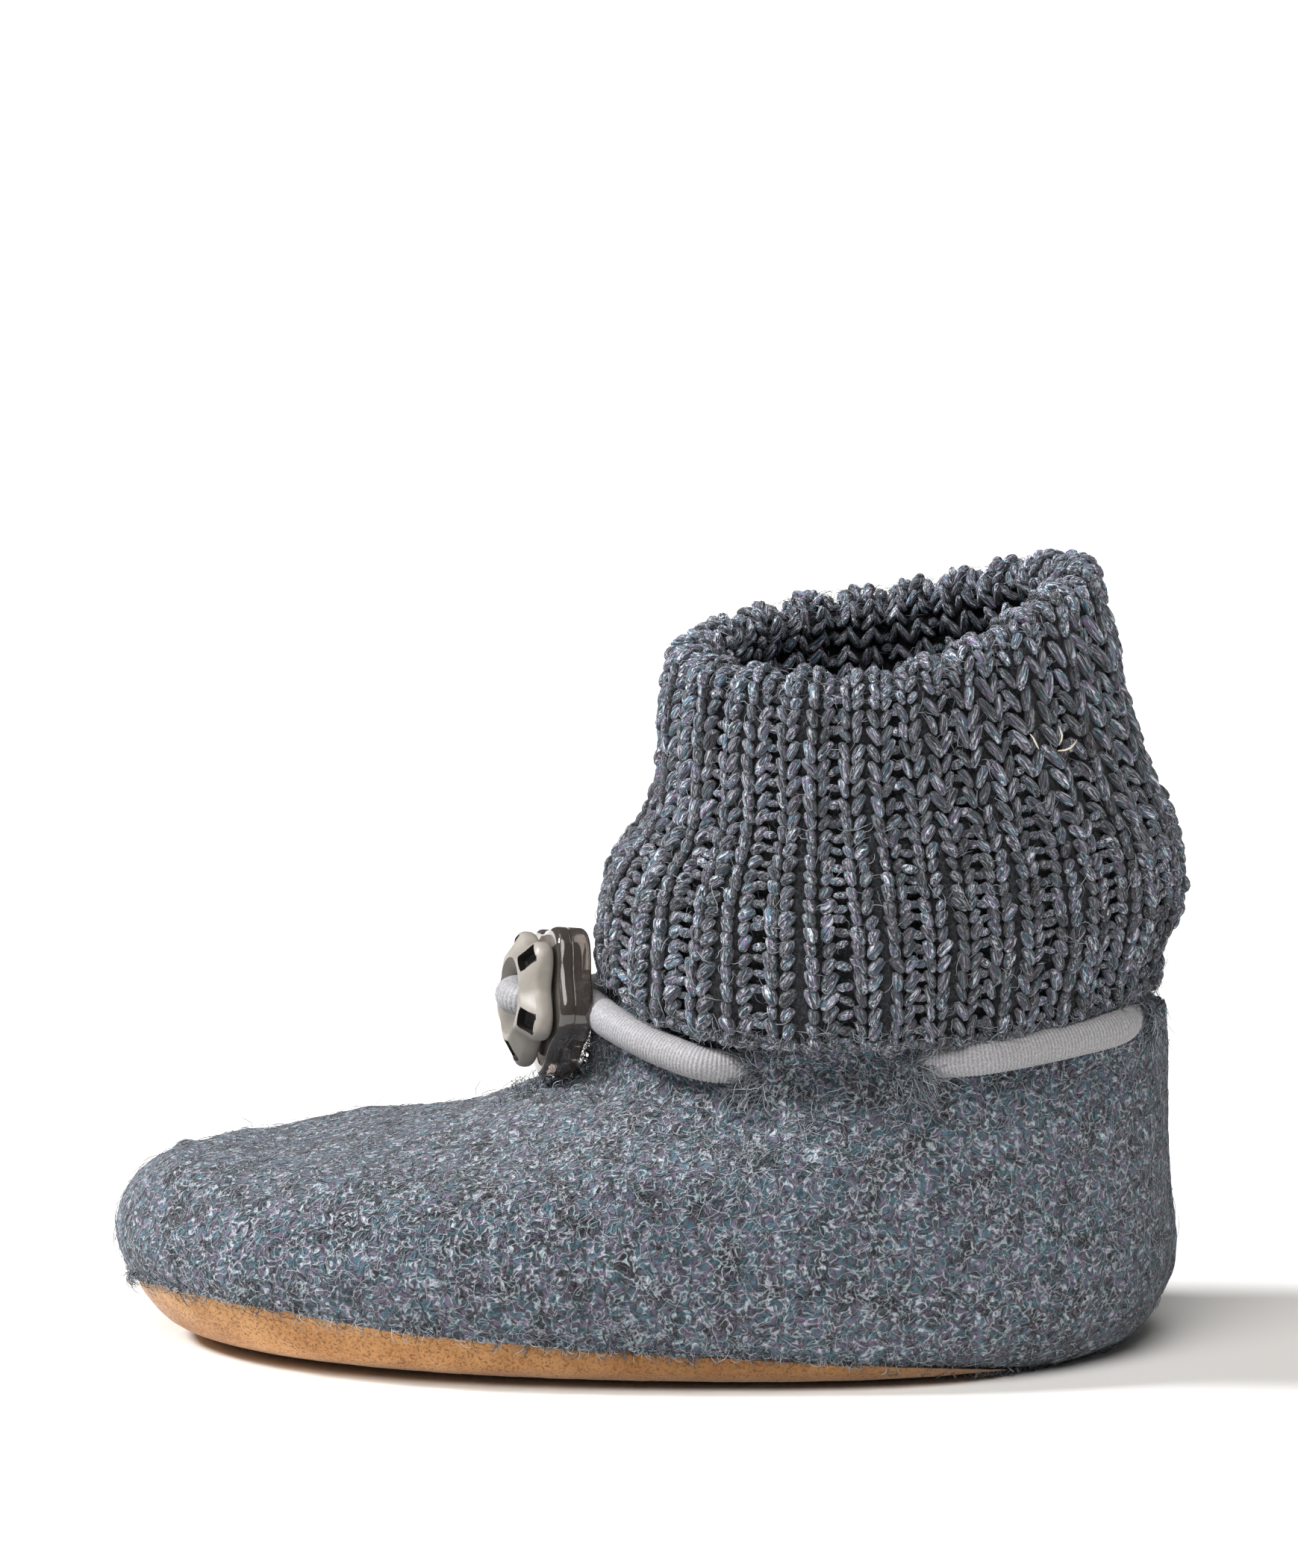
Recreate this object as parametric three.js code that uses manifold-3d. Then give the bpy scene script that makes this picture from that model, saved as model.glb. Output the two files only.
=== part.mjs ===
// Baby slipper for the left foot: a boiled wool upper on a cupped suede sole, with an
// insole, a ribbed knit cuff, and a drawcord that runs through the wool to a cord lock.
// Millimetres. +X points to the toe, +Y to the outer side, +Z up. It stands on z = 0.
import * as THREE from "three";
import { mergeVertices } from "three/addons/utils/BufferGeometryUtils.js";
import Module from "manifold-3d";

const wasm = await Module();
wasm.setup();

// Driving dimensions of the foot
const FOOT_LENGTH = 123.8; // back of the heel to the tip of the toe
const BALL_WIDTH = 58; // across the ball
const ANKLE_WIDTH = 43.8; // across the cord line
const TOE_HEIGHT = 22.9; // floor to the top of the toe box
const INSTEP_HEIGHT = 40.6; // floor to the cord line in front
const ANKLE_SIDE_HEIGHT = 37.6; // floor to the cord line at the sides
const HEEL_HEIGHT = 40.9; // floor to the cord line at the back
const COLLAR_RISE = 7.2; // wool above the cord line, hidden in the cuff
const TOE_SWING = 2.4; // how far the toe tip leans to the inner side
const ARCH_DEPTH = 3.2; // how far the tread draws in under the arch
const ARCH_STATION = 0.42; // middle of the arch, share of the length from the heel
const ARCH_LENGTH = 22; // half the length of the arch

// Walls and clearances
const WOOL_WALL = 2.4;
const SOLE_WALL = 2.4;
const SOLE_INSET = 0.5; // the suede's edge lies this far inside the wool's face
const INSOLE_THICKNESS = 2.2;
const INSOLE_BEVEL = 0.7;
const CLEARANCE = 0.3;
const INSOLE_CLEARANCE = 0.45; // under and round the insole
const SEAM_GAP = 0.4; // between the wool's lower edge and the suede's upper edge

// Heel seam: a raised strip down the back of the wool
const HEEL_SEAM_WIDTH = 1.9;
const HEEL_SEAM_HEIGHT = 0.55;
const HEEL_SEAM_FLARE = 0.75; // added at its upper end
const HEEL_SEAM_START = 3; // foot levels: where it starts, and where it is at full height
const HEEL_SEAM_FULL = 5;
const HEEL_SEAM_FLARE_LEVELS = 3; // how far the flare reaches down from its middle
const HEEL_SEAM_FLARE_DROP = 0.8; // foot levels from the cord line down to the flare's middle
const HEEL_SEAM_TUCK_START = -0.6; // foot levels from the cord line, where the cuff takes over
const HEEL_SEAM_TUCK_END = 0.2;

// Cuff
const CUFF_FRONT_RISE = 39.6; // cord line to the start of the rim's roll, in front
const CUFF_SIDE_RISE = 42.8;
const CUFF_BACK_RISE = 49.2;
const FAR_RIM_LIFT = 2.8; // the inner side of the rim stands higher than the outer side
const CUFF_DRAW = 12.3; // how far the rim draws in from the cord line
const CUFF_WALL = 6.4; // the folded rim, both layers
const RIB_COUNT = 20;
const RIB_DEPTH = 1.3;
const RIB_DIP = 0.35; // between the two columns of stitches on a rib
const RIB_VALLEY_WIDTH = 0.26; // shares of a rib's width
const RIB_DIP_WIDTH = 0.14;

// Drawcord and cord lock
const CORD_DIAMETER = 4.1;
const CORD_FLOAT = 0.5; // between the cord and the wool that it lies on
const STRAND_SPACING = 5.2; // between the two strands in the lock
const BIGHT_REACH = 2.1; // how far the bight's middle line stands out of the lock's hub
const BIGHT_SETBACK = 0.8; // the bight starts this far behind the hub's face
const LOCK_ENTRY = 0.5; // the strands straighten this far behind the base
const LOCK_LOBES = 5;
const LOCK_STANDOFF = 6.3; // wool at the cord line to the middle of the lock's base
const LOCK_LIFT = 0.2; // above the cord line in front
const LOCK_PITCH = THREE.MathUtils.degToRad(6); // its face looks up a little
const LOCK_YAW = THREE.MathUtils.degToRad(8); // and to the outer side
const BASE_RADIUS = 9.3;
const BASE_SCALLOP = 0.75;
const BASE_THICKNESS = 4.1;
const CAP_RADIUS = 8.3;
const CAP_SCALLOP = 1.15;
const CAP_THICKNESS = 3.7;
const CAP_DISH_RADIUS = 4.9;
const CAP_DISH_DEPTH = 1.9;
const CAP_DISH_TAPER = 0.6;
const LOCK_BEVEL = 0.7;
const PIT_SIZE = 2.5;
const PIT_DEPTH = 1.5;
const PIT_RADIUS = 6.35; // middle of each pit, from the lock's middle

// How finely the pieces are divided
const COLUMNS = 64; // round the foot
const SEAM_COLUMNS = [-5, -2.4, 2.4, 5]; // degrees either side of the heel seam
const OUTER_RINGS = 15;
const INNER_RINGS = 10;
const RING_CROWDING = 1.3; // above 1 the rings lie closer together at the sole
const SOLE_SHARES = [0, 0.3, 0.62, 1]; // from the flat tread up to the suede's edge
const INSOLE_LEVELS = [0.9, 1.4, 2]; // foot levels up the insole's edge
const CUFF_OUTER_LEVELS = [0, 1, 2, 3, 4, 5, 6.2, 7.6];
const CUFF_INNER_LEVELS = [7.2, 5.4, 3.6, 1.8, 0];
const RIM_TURNS = [45, 90, 135]; // degrees round the rim's roll
const POINTS_PER_RIB = 5;
const CORD_SIDES = 8;
const BIGHT_STEPS = 6;
const PLATE_POINTS = 30;
const DISH_SIDES = 24;
const SMALL_STEP = 0.02; // for slopes, in foot levels and in radians
const CUT_SPARE = 1; // the cutters stand this far out of the face that they cut

const HEEL_BACK = -FOOT_LENGTH / 2;
const CORD_RADIUS = CORD_DIAMETER / 2;

// The foot's form, from the tread up to the collar, one row for each ring round the foot.
// front, back and widest are stations, as shares of the length from the heel. ball and
// ankle are shares of those two half widths. toe, instep, side, heel and collar are
// shares of the heights named above. toeFull and heelFull say how blunt the ends are.
const FOOT_COLUMNS = [
  "front", "back", "widest", "ball", "ankle", "toe", "instep", "side", "heel", "collar",
  "toeFull", "heelFull", "arch",
];
const FOOT_RINGS = [
  [0.787, 0.159, 0.4, 0.48, 0.0, 0.0, 0.0, 0.0, 0.0, 0.0, 2.0, 2.0, 1.0],
  [0.867, 0.066, 0.39, 0.735, 0.0, 0.0, 0.0, 0.0, 0.0, 0.0, 1.8, 2.0, 1.0],
  [0.918, 0.04, 0.41, 0.84, 0.0, 0.024, 0.0, 0.021, 0.02, 0.0, 2.1, 2.25, 0.7],
  [0.95, 0.022, 0.43, 0.92, 0.0, 0.083, 0.0, 0.07, 0.071, 0.0, 2.35, 2.45, 0.4],
  [0.975, 0.009, 0.45, 0.97, 0.0, 0.218, 0.0, 0.149, 0.147, 0.0, 2.55, 2.6, 0.2],
  [0.99, 0.002, 0.465, 0.997, 0.0, 0.389, 0.0, 0.247, 0.235, 0.0, 2.7, 2.65, 0.1],
  [1.0, 0.0, 0.47, 1.0, 0.0, 0.55, 0.0, 0.346, 0.33, 0.0, 2.7, 2.65, 0.0],
  [0.993, 0.003, 0.465, 0.944, 0.056, 0.725, 0.0, 0.452, 0.44, 0.0, 2.5, 2.6, 0.0],
  [0.969, 0.006, 0.45, 0.831, 0.169, 0.886, 0.0, 0.545, 0.55, 0.0, 2.15, 2.5, 0.0],
  [0.924, 0.008, 0.425, 0.704, 0.296, 0.969, 0.0, 0.625, 0.648, 0.0, 1.7, 2.4, 0.0],
  [0.863, 0.009, 0.4, 0.577, 0.423, 1.0, 0.0, 0.691, 0.733, 0.0, 1.35, 2.25, 0.0],
  [0.779, 0.009, 0.364, 0.423, 0.577, 1.0, 0.073, 0.766, 0.817, 0.0, 1.2, 2.2, 0.0],
  [0.698, 0.01, 0.336, 0.296, 0.704, 1.0, 0.198, 0.832, 0.88, 0.0, 1.25, 2.15, 0.0],
  [0.614, 0.012, 0.312, 0.169, 0.831, 1.0, 0.362, 0.894, 0.934, 0.0, 1.5, 2.1, 0.0],
  [0.566, 0.0145, 0.3, 0.085, 0.915, 1.0, 0.48, 0.939, 0.966, 0.0, 1.8, 2.05, 0.0],
  [0.542, 0.017, 0.294, 0.028, 0.972, 1.0, 0.695, 0.971, 0.983, 0.0, 1.95, 2.0, 0.0],
  [0.529, 0.0193, 0.2915, 0.0, 1.0, 1.0, 1.0, 1.0, 1.0, 0.0, 2.0, 2.0, 0.0],
  [0.519, 0.045, 0.2915, 0.0, 0.968, 1.0, 1.0, 1.0, 1.0, 0.5, 2.0, 2.0, 0.0],
  [0.514, 0.048, 0.2915, 0.0, 0.954, 1.0, 1.0, 1.0, 1.0, 1.0, 2.0, 2.0, 0.0],
];
const CORD_LEVEL = 16; // the row at the cord line
const COLLAR_LEVEL = 18; // the row at the wool's upper edge

// Where the suede ends and the wool begins: a foot level for each direction from the
// ankle, in degrees from the toe. Under the heel the wool turns in below the foot.
// Each row is a direction and its level.
const SEAM_LINE = [
  [0, 4.5], [22, 4.95], [45, 4.9], [70, 4.3], [95, 3.55], [120, 2.5], [142, 1.3], [160, 0.75],
  [180, 0.6],
];

// The cuff's inner face, from its hem to the start of the rim's roll. frontOut, sideOut and
// backOut are shares of CUFF_DRAW, outward from the cord line. The rises are shares of the
// three cuff heights, wall is a share of CUFF_WALL and lift a share of FAR_RIM_LIFT. fall
// says how quickly a ring's height falls from its ends to its sides.
const CUFF_COLUMNS = [
  "frontOut", "sideOut", "backOut", "frontRise", "sideRise", "backRise", "wall", "lift", "fall",
];
const CUFF_RINGS = [
  [-0.06, 0.01, -0.13, 0.111, 0.066, 0.06, 0.43, 0.0, 2.6],
  [-0.07, 0.035, -0.12, 0.187, 0.161, 0.139, 0.47, 0.0, 2.5],
  [-0.11, 0.085, 0.01, 0.275, 0.278, 0.219, 0.5, 0.0, 2.3],
  [-0.175, 0.09, 0.045, 0.364, 0.383, 0.292, 0.53, 0.0, 2.1],
  [-0.335, 0.04, 0.0, 0.4545, 0.477, 0.375, 0.56, 0.0, 1.9],
  [-0.56, -0.055, -0.12, 0.54, 0.57, 0.458, 0.59, 0.05, 1.8],
  [-0.715, -0.154, -0.35, 0.641, 0.664, 0.567, 0.625, 0.1, 1.7],
  [-0.772, -0.244, -0.569, 0.768, 0.78, 0.706, 0.69, 0.25, 1.6],
  [-0.837, -0.341, -0.748, 0.894, 0.902, 0.851, 0.78, 0.6, 1.5],
  [-1.0, -0.496, -0.992, 1.0, 1.0, 1.0, 1.0, 1.0, 1.4],
];
const CUFF_RIM_LEVEL = CUFF_RINGS.length - 1;

// The cord's route on one side, from the front to the back. Each row is a direction from
// the ankle in degrees, and 1 outside the wool or -1 inside it. The other side mirrors it.
const CORD_ROUTE = [
  [22, 1], [32, 1], [43, 1], [53, 0.95], [60, 0.45], [66, -0.15], [73, -0.8], [82, -1],
  [92, -0.8], [98, -0.15], [104, 0.45], [111, 0.95], [122, 1], [134, 1], [145, 0.95],
  [152, 0.5], [159, -0.1], [167, -0.75], [180, -1],
];

// Value of a smooth curve through a table's column at a level between its rows
function columnAt(rows, column, level) {
  const last = rows.length - 1;
  const low = Math.min(Math.max(Math.floor(level), 0), last - 1);
  const share = level - low;
  const value = (row) => rows[Math.min(Math.max(row, 0), last)][column];
  const [before, start, end, after] = [value(low - 1), value(low), value(low + 1), value(low + 2)];
  const square = share * share;
  const cube = square * share;
  return 0.5 * (2 * start + (end - before) * share
    + (2 * before - 5 * start + 4 * end - after) * square
    + (3 * start - before - 3 * end + after) * cube);
}

// All columns of a table at a level, by name
function rowAt(rows, names, level) {
  return Object.fromEntries(names.map((name, column) => [name, columnAt(rows, column, level)]));
}

// A table whose first column isn't even: its second column at any value of the first
function lookUp(rows, key) {
  const next = rows.findIndex((row) => row[0] >= key);
  if (next <= 0) return rows[Math.max(next, 0)][1];
  const [from, to] = [rows[next - 1], rows[next]];
  const share = (key - from[0]) / (to[0] - from[0]);
  const before = rows[Math.max(next - 2, 0)];
  const after = rows[Math.min(next + 1, rows.length - 1)];
  const slopeIn = (to[1] - before[1]) / (to[0] - before[0]) * (to[0] - from[0]);
  const slopeOut = (after[1] - from[1]) / (after[0] - from[0]) * (to[0] - from[0]);
  const square = share * share;
  const cube = square * share;
  return (2 * cube - 3 * square + 1) * from[1] + (cube - 2 * square + share) * slopeIn
    + (3 * square - 2 * cube) * to[1] + (cube - square) * slopeOut;
}

// A closed ring in plan, blunt or pointed at its two ends, with a height for each direction
function ringPoint(ring, angle) {
  const forward = Math.cos(angle);
  const reach = forward >= 0 ? ring.front - ring.widest : ring.widest - ring.back;
  const fullness = forward >= 0 ? ring.frontFull : ring.backFull;
  const endHeight = forward >= 0 ? ring.frontHeight : ring.backHeight;
  const x = ring.widest + Math.sign(forward) * reach * Math.abs(forward) ** (2 / fullness);
  const y = ring.halfWidth * Math.sin(angle);
  const z = ring.sideHeight + (endHeight - ring.sideHeight) * Math.abs(forward) ** ring.fall;
  return new THREE.Vector3(x, y, Math.max(z, 0));
}

// Bell curve, 1 in the middle and nearly 0 at one width from it
function bell(distance, width) {
  return Math.exp(-((1.5 * distance / width) ** 2));
}

// The foot's own face: level runs up the rows of FOOT_RINGS, angle round from the toe
function footPoint(level, angle) {
  const row = rowAt(FOOT_RINGS, FOOT_COLUMNS, level);
  const station = (share) => HEEL_BACK + share * FOOT_LENGTH;
  const collar = row.collar * COLLAR_RISE;
  const point = ringPoint({
    front: station(row.front),
    back: station(row.back),
    widest: station(row.widest),
    halfWidth: (row.ball * BALL_WIDTH + row.ankle * ANKLE_WIDTH) / 2,
    frontHeight: row.toe * TOE_HEIGHT + row.instep * (INSTEP_HEIGHT - TOE_HEIGHT) + collar,
    sideHeight: row.side * ANKLE_SIDE_HEIGHT + collar,
    backHeight: row.heel * HEEL_HEIGHT + collar,
    frontFull: row.toeFull,
    backFull: row.heelFull,
    fall: 2,
  }, angle);
  const innerSide = Math.max(0, -Math.sin(angle));
  const archMiddle = station(ARCH_STATION);
  point.y += ARCH_DEPTH * row.arch * innerSide * bell(point.x - archMiddle, ARCH_LENGTH);
  const forefoot = Math.max(0, point.x / (HEEL_BACK + FOOT_LENGTH));
  point.y -= TOE_SWING * forefoot ** 2;
  return point;
}

// The face's outward normal, and how many millimetres one level is worth
function footFrame(level, angle) {
  const step = SMALL_STEP;
  const along = footPoint(level, angle + step).sub(footPoint(level, angle - step));
  const up = footPoint(level + step, angle).sub(footPoint(level - step, angle));
  const normal = new THREE.Vector3().crossVectors(along, up).normalize();
  return { normal, speed: up.length() / (2 * step) };
}

// A point a set depth under the foot's face
function footLayer(level, angle, depth) {
  return footPoint(level, angle).addScaledVector(footFrame(level, angle).normal, -depth);
}

// The directions of the foot's columns, closer together at the heel seam
function footAngles() {
  const back = 180;
  const even = Array.from({ length: COLUMNS }, (unused, index) => index * 360 / COLUMNS);
  const seam = SEAM_COLUMNS.map((offset) => back + offset);
  const closest = Math.max(...SEAM_COLUMNS) + 0.5;
  const spaced = even.filter((angle) => angle === back || Math.abs(angle - back) > closest);
  return [...spaced, ...seam].sort((a, b) => a - b).map(THREE.MathUtils.degToRad);
}

function seamLevel(angle) {
  const turned = Math.atan2(Math.sin(angle), Math.cos(angle));
  return lookUp(SEAM_LINE, Math.abs(THREE.MathUtils.radToDeg(turned)));
}

// The raised strip down the heel, which flares out below the cuff
function heelSeam(level, point) {
  if (point.x > 0) return 0;
  const strip = bell(point.y, HEEL_SEAM_WIDTH);
  const flare = bell(level - (CORD_LEVEL - HEEL_SEAM_FLARE_DROP), HEEL_SEAM_FLARE_LEVELS);
  const started = THREE.MathUtils.smoothstep(level, HEEL_SEAM_START, HEEL_SEAM_FULL);
  const tucked = THREE.MathUtils.smoothstep(
    level, CORD_LEVEL + HEEL_SEAM_TUCK_START, CORD_LEVEL + HEEL_SEAM_TUCK_END);
  return strip * (1 - tucked) * (HEEL_SEAM_HEIGHT * started + HEEL_SEAM_FLARE * flare);
}

// A closed mesh from rings of equal length. Loops join the last ring to the first, and
// otherwise both end rings are closed by flat faces.
function meshFromRings(rings, loops) {
  const count = rings[0].length;
  const index = [];
  const bands = loops ? rings.length : rings.length - 1;
  for (let band = 0; band < bands; band += 1) {
    const low = band * count;
    const high = ((band + 1) % rings.length) * count;
    for (let column = 0; column < count; column += 1) {
      const next = (column + 1) % count;
      index.push(low + column, low + next, high + next);
      index.push(low + column, high + next, high + column);
    }
  }
  if (!loops) {
    const plan = (ring) => ring.map((point) => new THREE.Vector2(point.x, point.y));
    const flat = (ring) => THREE.ShapeUtils.triangulateShape(plan(ring), []);
    const top = (rings.length - 1) * count;
    for (const [a, b, c] of flat(rings[0])) index.push(c, b, a);
    for (const [a, b, c] of flat(rings.at(-1))) index.push(top + a, top + b, top + c);
  }
  const places = new Float32Array(rings.flat().flatMap((point) => point.toArray()));
  const geometry = new THREE.BufferGeometry();
  geometry.setAttribute("position", new THREE.BufferAttribute(places, 3));
  geometry.setIndex(index);
  return facingOut(geometry);
}

// Turns a closed mesh inside out if its faces look inward
function facingOut(geometry) {
  const position = geometry.getAttribute("position");
  const index = geometry.getIndex().array;
  const corner = [new THREE.Vector3(), new THREE.Vector3(), new THREE.Vector3()];
  let volume = 0;
  for (let face = 0; face < index.length; face += 3) {
    corner.forEach((point, step) => point.fromBufferAttribute(position, index[face + step]));
    volume += corner[0].dot(corner[1].cross(corner[2]));
  }
  if (volume < 0) {
    for (let face = 0; face < index.length; face += 3) {
      [index[face], index[face + 1]] = [index[face + 1], index[face]];
    }
  }
  return geometry;
}

// three.js geometry to a solid that can be cut, and back
function solidFrom(geometry) {
  const bare = geometry.clone();
  bare.deleteAttribute("normal");
  bare.deleteAttribute("uv");
  const merged = mergeVertices(bare);
  return new wasm.Manifold(new wasm.Mesh({
    numProp: 3,
    vertProperties: new Float32Array(merged.getAttribute("position").array),
    triVerts: new Uint32Array(merged.getIndex().array),
  }));
}

function geometryFrom(solid) {
  const mesh = solid.getMesh();
  const places = new Float32Array(mesh.vertProperties);
  const geometry = new THREE.BufferGeometry();
  geometry.setAttribute("position", new THREE.BufferAttribute(places, 3));
  geometry.setIndex(new THREE.BufferAttribute(new Uint32Array(mesh.triVerts), 1));
  return geometry;
}

// The lock's own frame: x across it, y up it and z out of its face, from its base's middle
function lockMatrix() {
  const wool = footPoint(CORD_LEVEL, 0);
  const forward = new THREE.Vector3(
    Math.cos(LOCK_PITCH) * Math.cos(LOCK_YAW),
    Math.cos(LOCK_PITCH) * Math.sin(LOCK_YAW),
    Math.sin(LOCK_PITCH),
  );
  const across = new THREE.Vector3().crossVectors(new THREE.Vector3(0, 0, 1), forward).normalize();
  const up = new THREE.Vector3().crossVectors(forward, across);
  const matrix = new THREE.Matrix4().makeBasis(across, up, forward);
  return matrix.setPosition(wool.x + LOCK_STANDOFF, 0, wool.z + LOCK_LIFT);
}

// The cord's middle line at a direction: side is 1 outside the wool and -1 inside it
function cordOnAnkle(direction, side, hand) {
  const angle = hand * THREE.MathUtils.degToRad(direction);
  const outside = CORD_RADIUS + CORD_FLOAT;
  const inside = -(WOOL_WALL + CORD_RADIUS + CORD_FLOAT);
  const offset = (outside + inside) / 2 + side * (outside - inside) / 2;
  const outward = footFrame(CORD_LEVEL, angle).normal.setZ(0).normalize();
  return footPoint(CORD_LEVEL, angle).addScaledVector(outward, offset);
}

// The strand's way through the lock on one side, from its back to the start of the bight
function cordInLock(hand) {
  const across = hand * STRAND_SPACING / 2;
  const back = -BASE_THICKNESS / 2;
  const hub = BASE_THICKNESS / 2 + CLEARANCE + CAP_THICKNESS - CAP_DISH_DEPTH;
  const stations = [back - LOCK_ENTRY, 0, hub - BIGHT_SETBACK];
  return stations.map((forward) => new THREE.Vector3(across, 0, forward));
}

// The bight: half a turn from the inner strand to the outer strand, in front of the cap
function cordBight() {
  const start = cordInLock(1).at(-1);
  return Array.from({ length: BIGHT_STEPS - 1 }, (unused, index) => {
    const turn = Math.PI * (index + 1) / BIGHT_STEPS;
    return new THREE.Vector3(-start.x * Math.cos(turn), 0, start.z + BIGHT_REACH * Math.sin(turn));
  });
}

// The middle line of the whole cord, a closed loop
function cordLine() {
  const ankle = (hand) => CORD_ROUTE.map(([direction, side]) => cordOnAnkle(direction, side, hand));
  const matrix = lockMatrix();
  const lock = [...cordInLock(-1), ...cordBight(), ...cordInLock(1).reverse()];
  return [
    ...lock.map((point) => point.applyMatrix4(matrix)),
    ...ankle(1),
    ...ankle(-1).reverse().slice(1),
  ];
}

// A tube round the cord's line, one ring at each of its points
function cordTube(radius) {
  const curve = new THREE.CatmullRomCurve3(cordLine(), true, "centripetal");
  const count = curve.points.length;
  const above = new THREE.Vector3(0, 0, 1);
  const rings = curve.points.map((middle, index) => {
    const along = curve.getTangent(index / count);
    const side = new THREE.Vector3().crossVectors(along, above).normalize();
    const up = new THREE.Vector3().crossVectors(side, along);
    return Array.from({ length: CORD_SIDES }, (unused, corner) => {
      const turn = (corner + 0.5) / CORD_SIDES * 2 * Math.PI;
      const beside = middle.clone().addScaledVector(side, radius * Math.cos(turn));
      return beside.addScaledVector(up, radius * Math.sin(turn));
    });
  });
  return meshFromRings(rings, true);
}

// Upper
function upperSolid() {
  const angles = footAngles();
  const ring = (share, inner) => angles.map((angle) => {
    const low = seamLevel(angle);
    const level = low + share * (COLLAR_LEVEL - low);
    if (inner) return footLayer(level, angle, WOOL_WALL);
    return footLayer(level, angle, -heelSeam(level, footPoint(level, angle)));
  });
  const shares = (count) => {
    const rows = Array.from({ length: count }, (unused, row) => row / (count - 1));
    return rows.map((share) => share ** RING_CROWDING);
  };
  const outer = shares(OUTER_RINGS).map((share) => ring(share, false));
  const inner = shares(INNER_RINGS).map((share) => ring(share, true)).reverse();
  const wall = solidFrom(meshFromRings([...outer, ...inner], true));
  return geometryFrom(wall.subtract(solidFrom(cordTube(CORD_RADIUS + CLEARANCE))));
}

// Sole: its tread is flat up to level 1, or a little under the seam where that is lower
function soleSolid() {
  const angles = footAngles();
  const ring = (share, inner) => angles.map((angle) => {
    const seam = seamLevel(angle);
    const edge = seam - SEAM_GAP / footFrame(seam, angle).speed;
    const flat = Math.min(1, 0.85 * edge);
    const level = flat + share * (edge - flat);
    const cupped = THREE.MathUtils.smoothstep(level, 1, 3);
    return footLayer(level, angle, inner ? SOLE_WALL : SOLE_INSET * cupped);
  });
  const outer = SOLE_SHARES.map((share) => ring(share, false));
  const inner = SOLE_SHARES.map((share) => ring(share, true)).reverse();
  return meshFromRings([...outer, ...inner], false);
}

// Insole
function insoleSolid() {
  const angles = footAngles();
  const depth = Math.max(WOOL_WALL, SOLE_WALL) + INSOLE_CLEARANCE;
  const top = depth + INSOLE_THICKNESS;
  const lower = INSOLE_LEVELS.map((level) => angles.map((angle) => footLayer(level, angle, depth)));
  const shoulder = lower.at(-1).map((point) => {
    const height = Math.max(point.z, top - INSOLE_BEVEL);
    return new THREE.Vector3(point.x, point.y, height);
  });
  const face = shoulder.map((point) => {
    const length = Math.hypot(point.x, point.y);
    const shrink = (length - INSOLE_BEVEL) / length;
    return new THREE.Vector3(point.x * shrink, point.y * shrink, top);
  });
  return meshFromRings([...lower, shoulder, face], false);
}

// The cuff's inner face at a level and a direction
function cuffPoint(level, angle) {
  const row = rowAt(CUFF_RINGS, CUFF_COLUMNS, level);
  const ankle = rowAt(FOOT_RINGS, FOOT_COLUMNS, CORD_LEVEL);
  const innerLift = Math.sin(angle) < 0 ? row.lift * FAR_RIM_LIFT : 0;
  return ringPoint({
    front: HEEL_BACK + ankle.front * FOOT_LENGTH + row.frontOut * CUFF_DRAW,
    back: HEEL_BACK + ankle.back * FOOT_LENGTH - row.backOut * CUFF_DRAW,
    widest: HEEL_BACK + ankle.widest * FOOT_LENGTH,
    halfWidth: ankle.ankle * ANKLE_WIDTH / 2 + row.sideOut * CUFF_DRAW,
    frontHeight: INSTEP_HEIGHT + row.frontRise * CUFF_FRONT_RISE,
    sideHeight: ANKLE_SIDE_HEIGHT + row.sideRise * CUFF_SIDE_RISE + innerLift,
    backHeight: HEEL_HEIGHT + row.backRise * CUFF_BACK_RISE,
    frontFull: 2,
    backFull: 2,
    fall: row.fall,
  }, angle);
}

// Directions that divide the cuff's girth evenly, so that its ribs are equally wide
function cuffAngles(count) {
  const fine = 720;
  const girth = [0];
  for (let step = 1; step <= fine; step += 1) {
    const from = cuffPoint(CUFF_RIM_LEVEL / 2, (step - 1) / fine * 2 * Math.PI);
    const to = cuffPoint(CUFF_RIM_LEVEL / 2, step / fine * 2 * Math.PI);
    girth.push(girth[step - 1] + from.distanceTo(to));
  }
  return Array.from({ length: count }, (unused, index) => {
    const wanted = index / count * girth[fine];
    const after = girth.findIndex((length) => length > wanted);
    const share = (wanted - girth[after - 1]) / (girth[after] - girth[after - 1]);
    return (after - 1 + share) / fine * 2 * Math.PI;
  });
}

// A rib's profile: a deep valley at its edge, and a slight dip between its two stitch columns
function ribInset(share) {
  const fromValley = Math.min(share, 1 - share);
  const valley = bell(fromValley, RIB_VALLEY_WIDTH);
  const dip = bell(fromValley - 0.5, RIB_DIP_WIDTH);
  return RIB_DEPTH * valley + RIB_DIP * dip;
}

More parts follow.
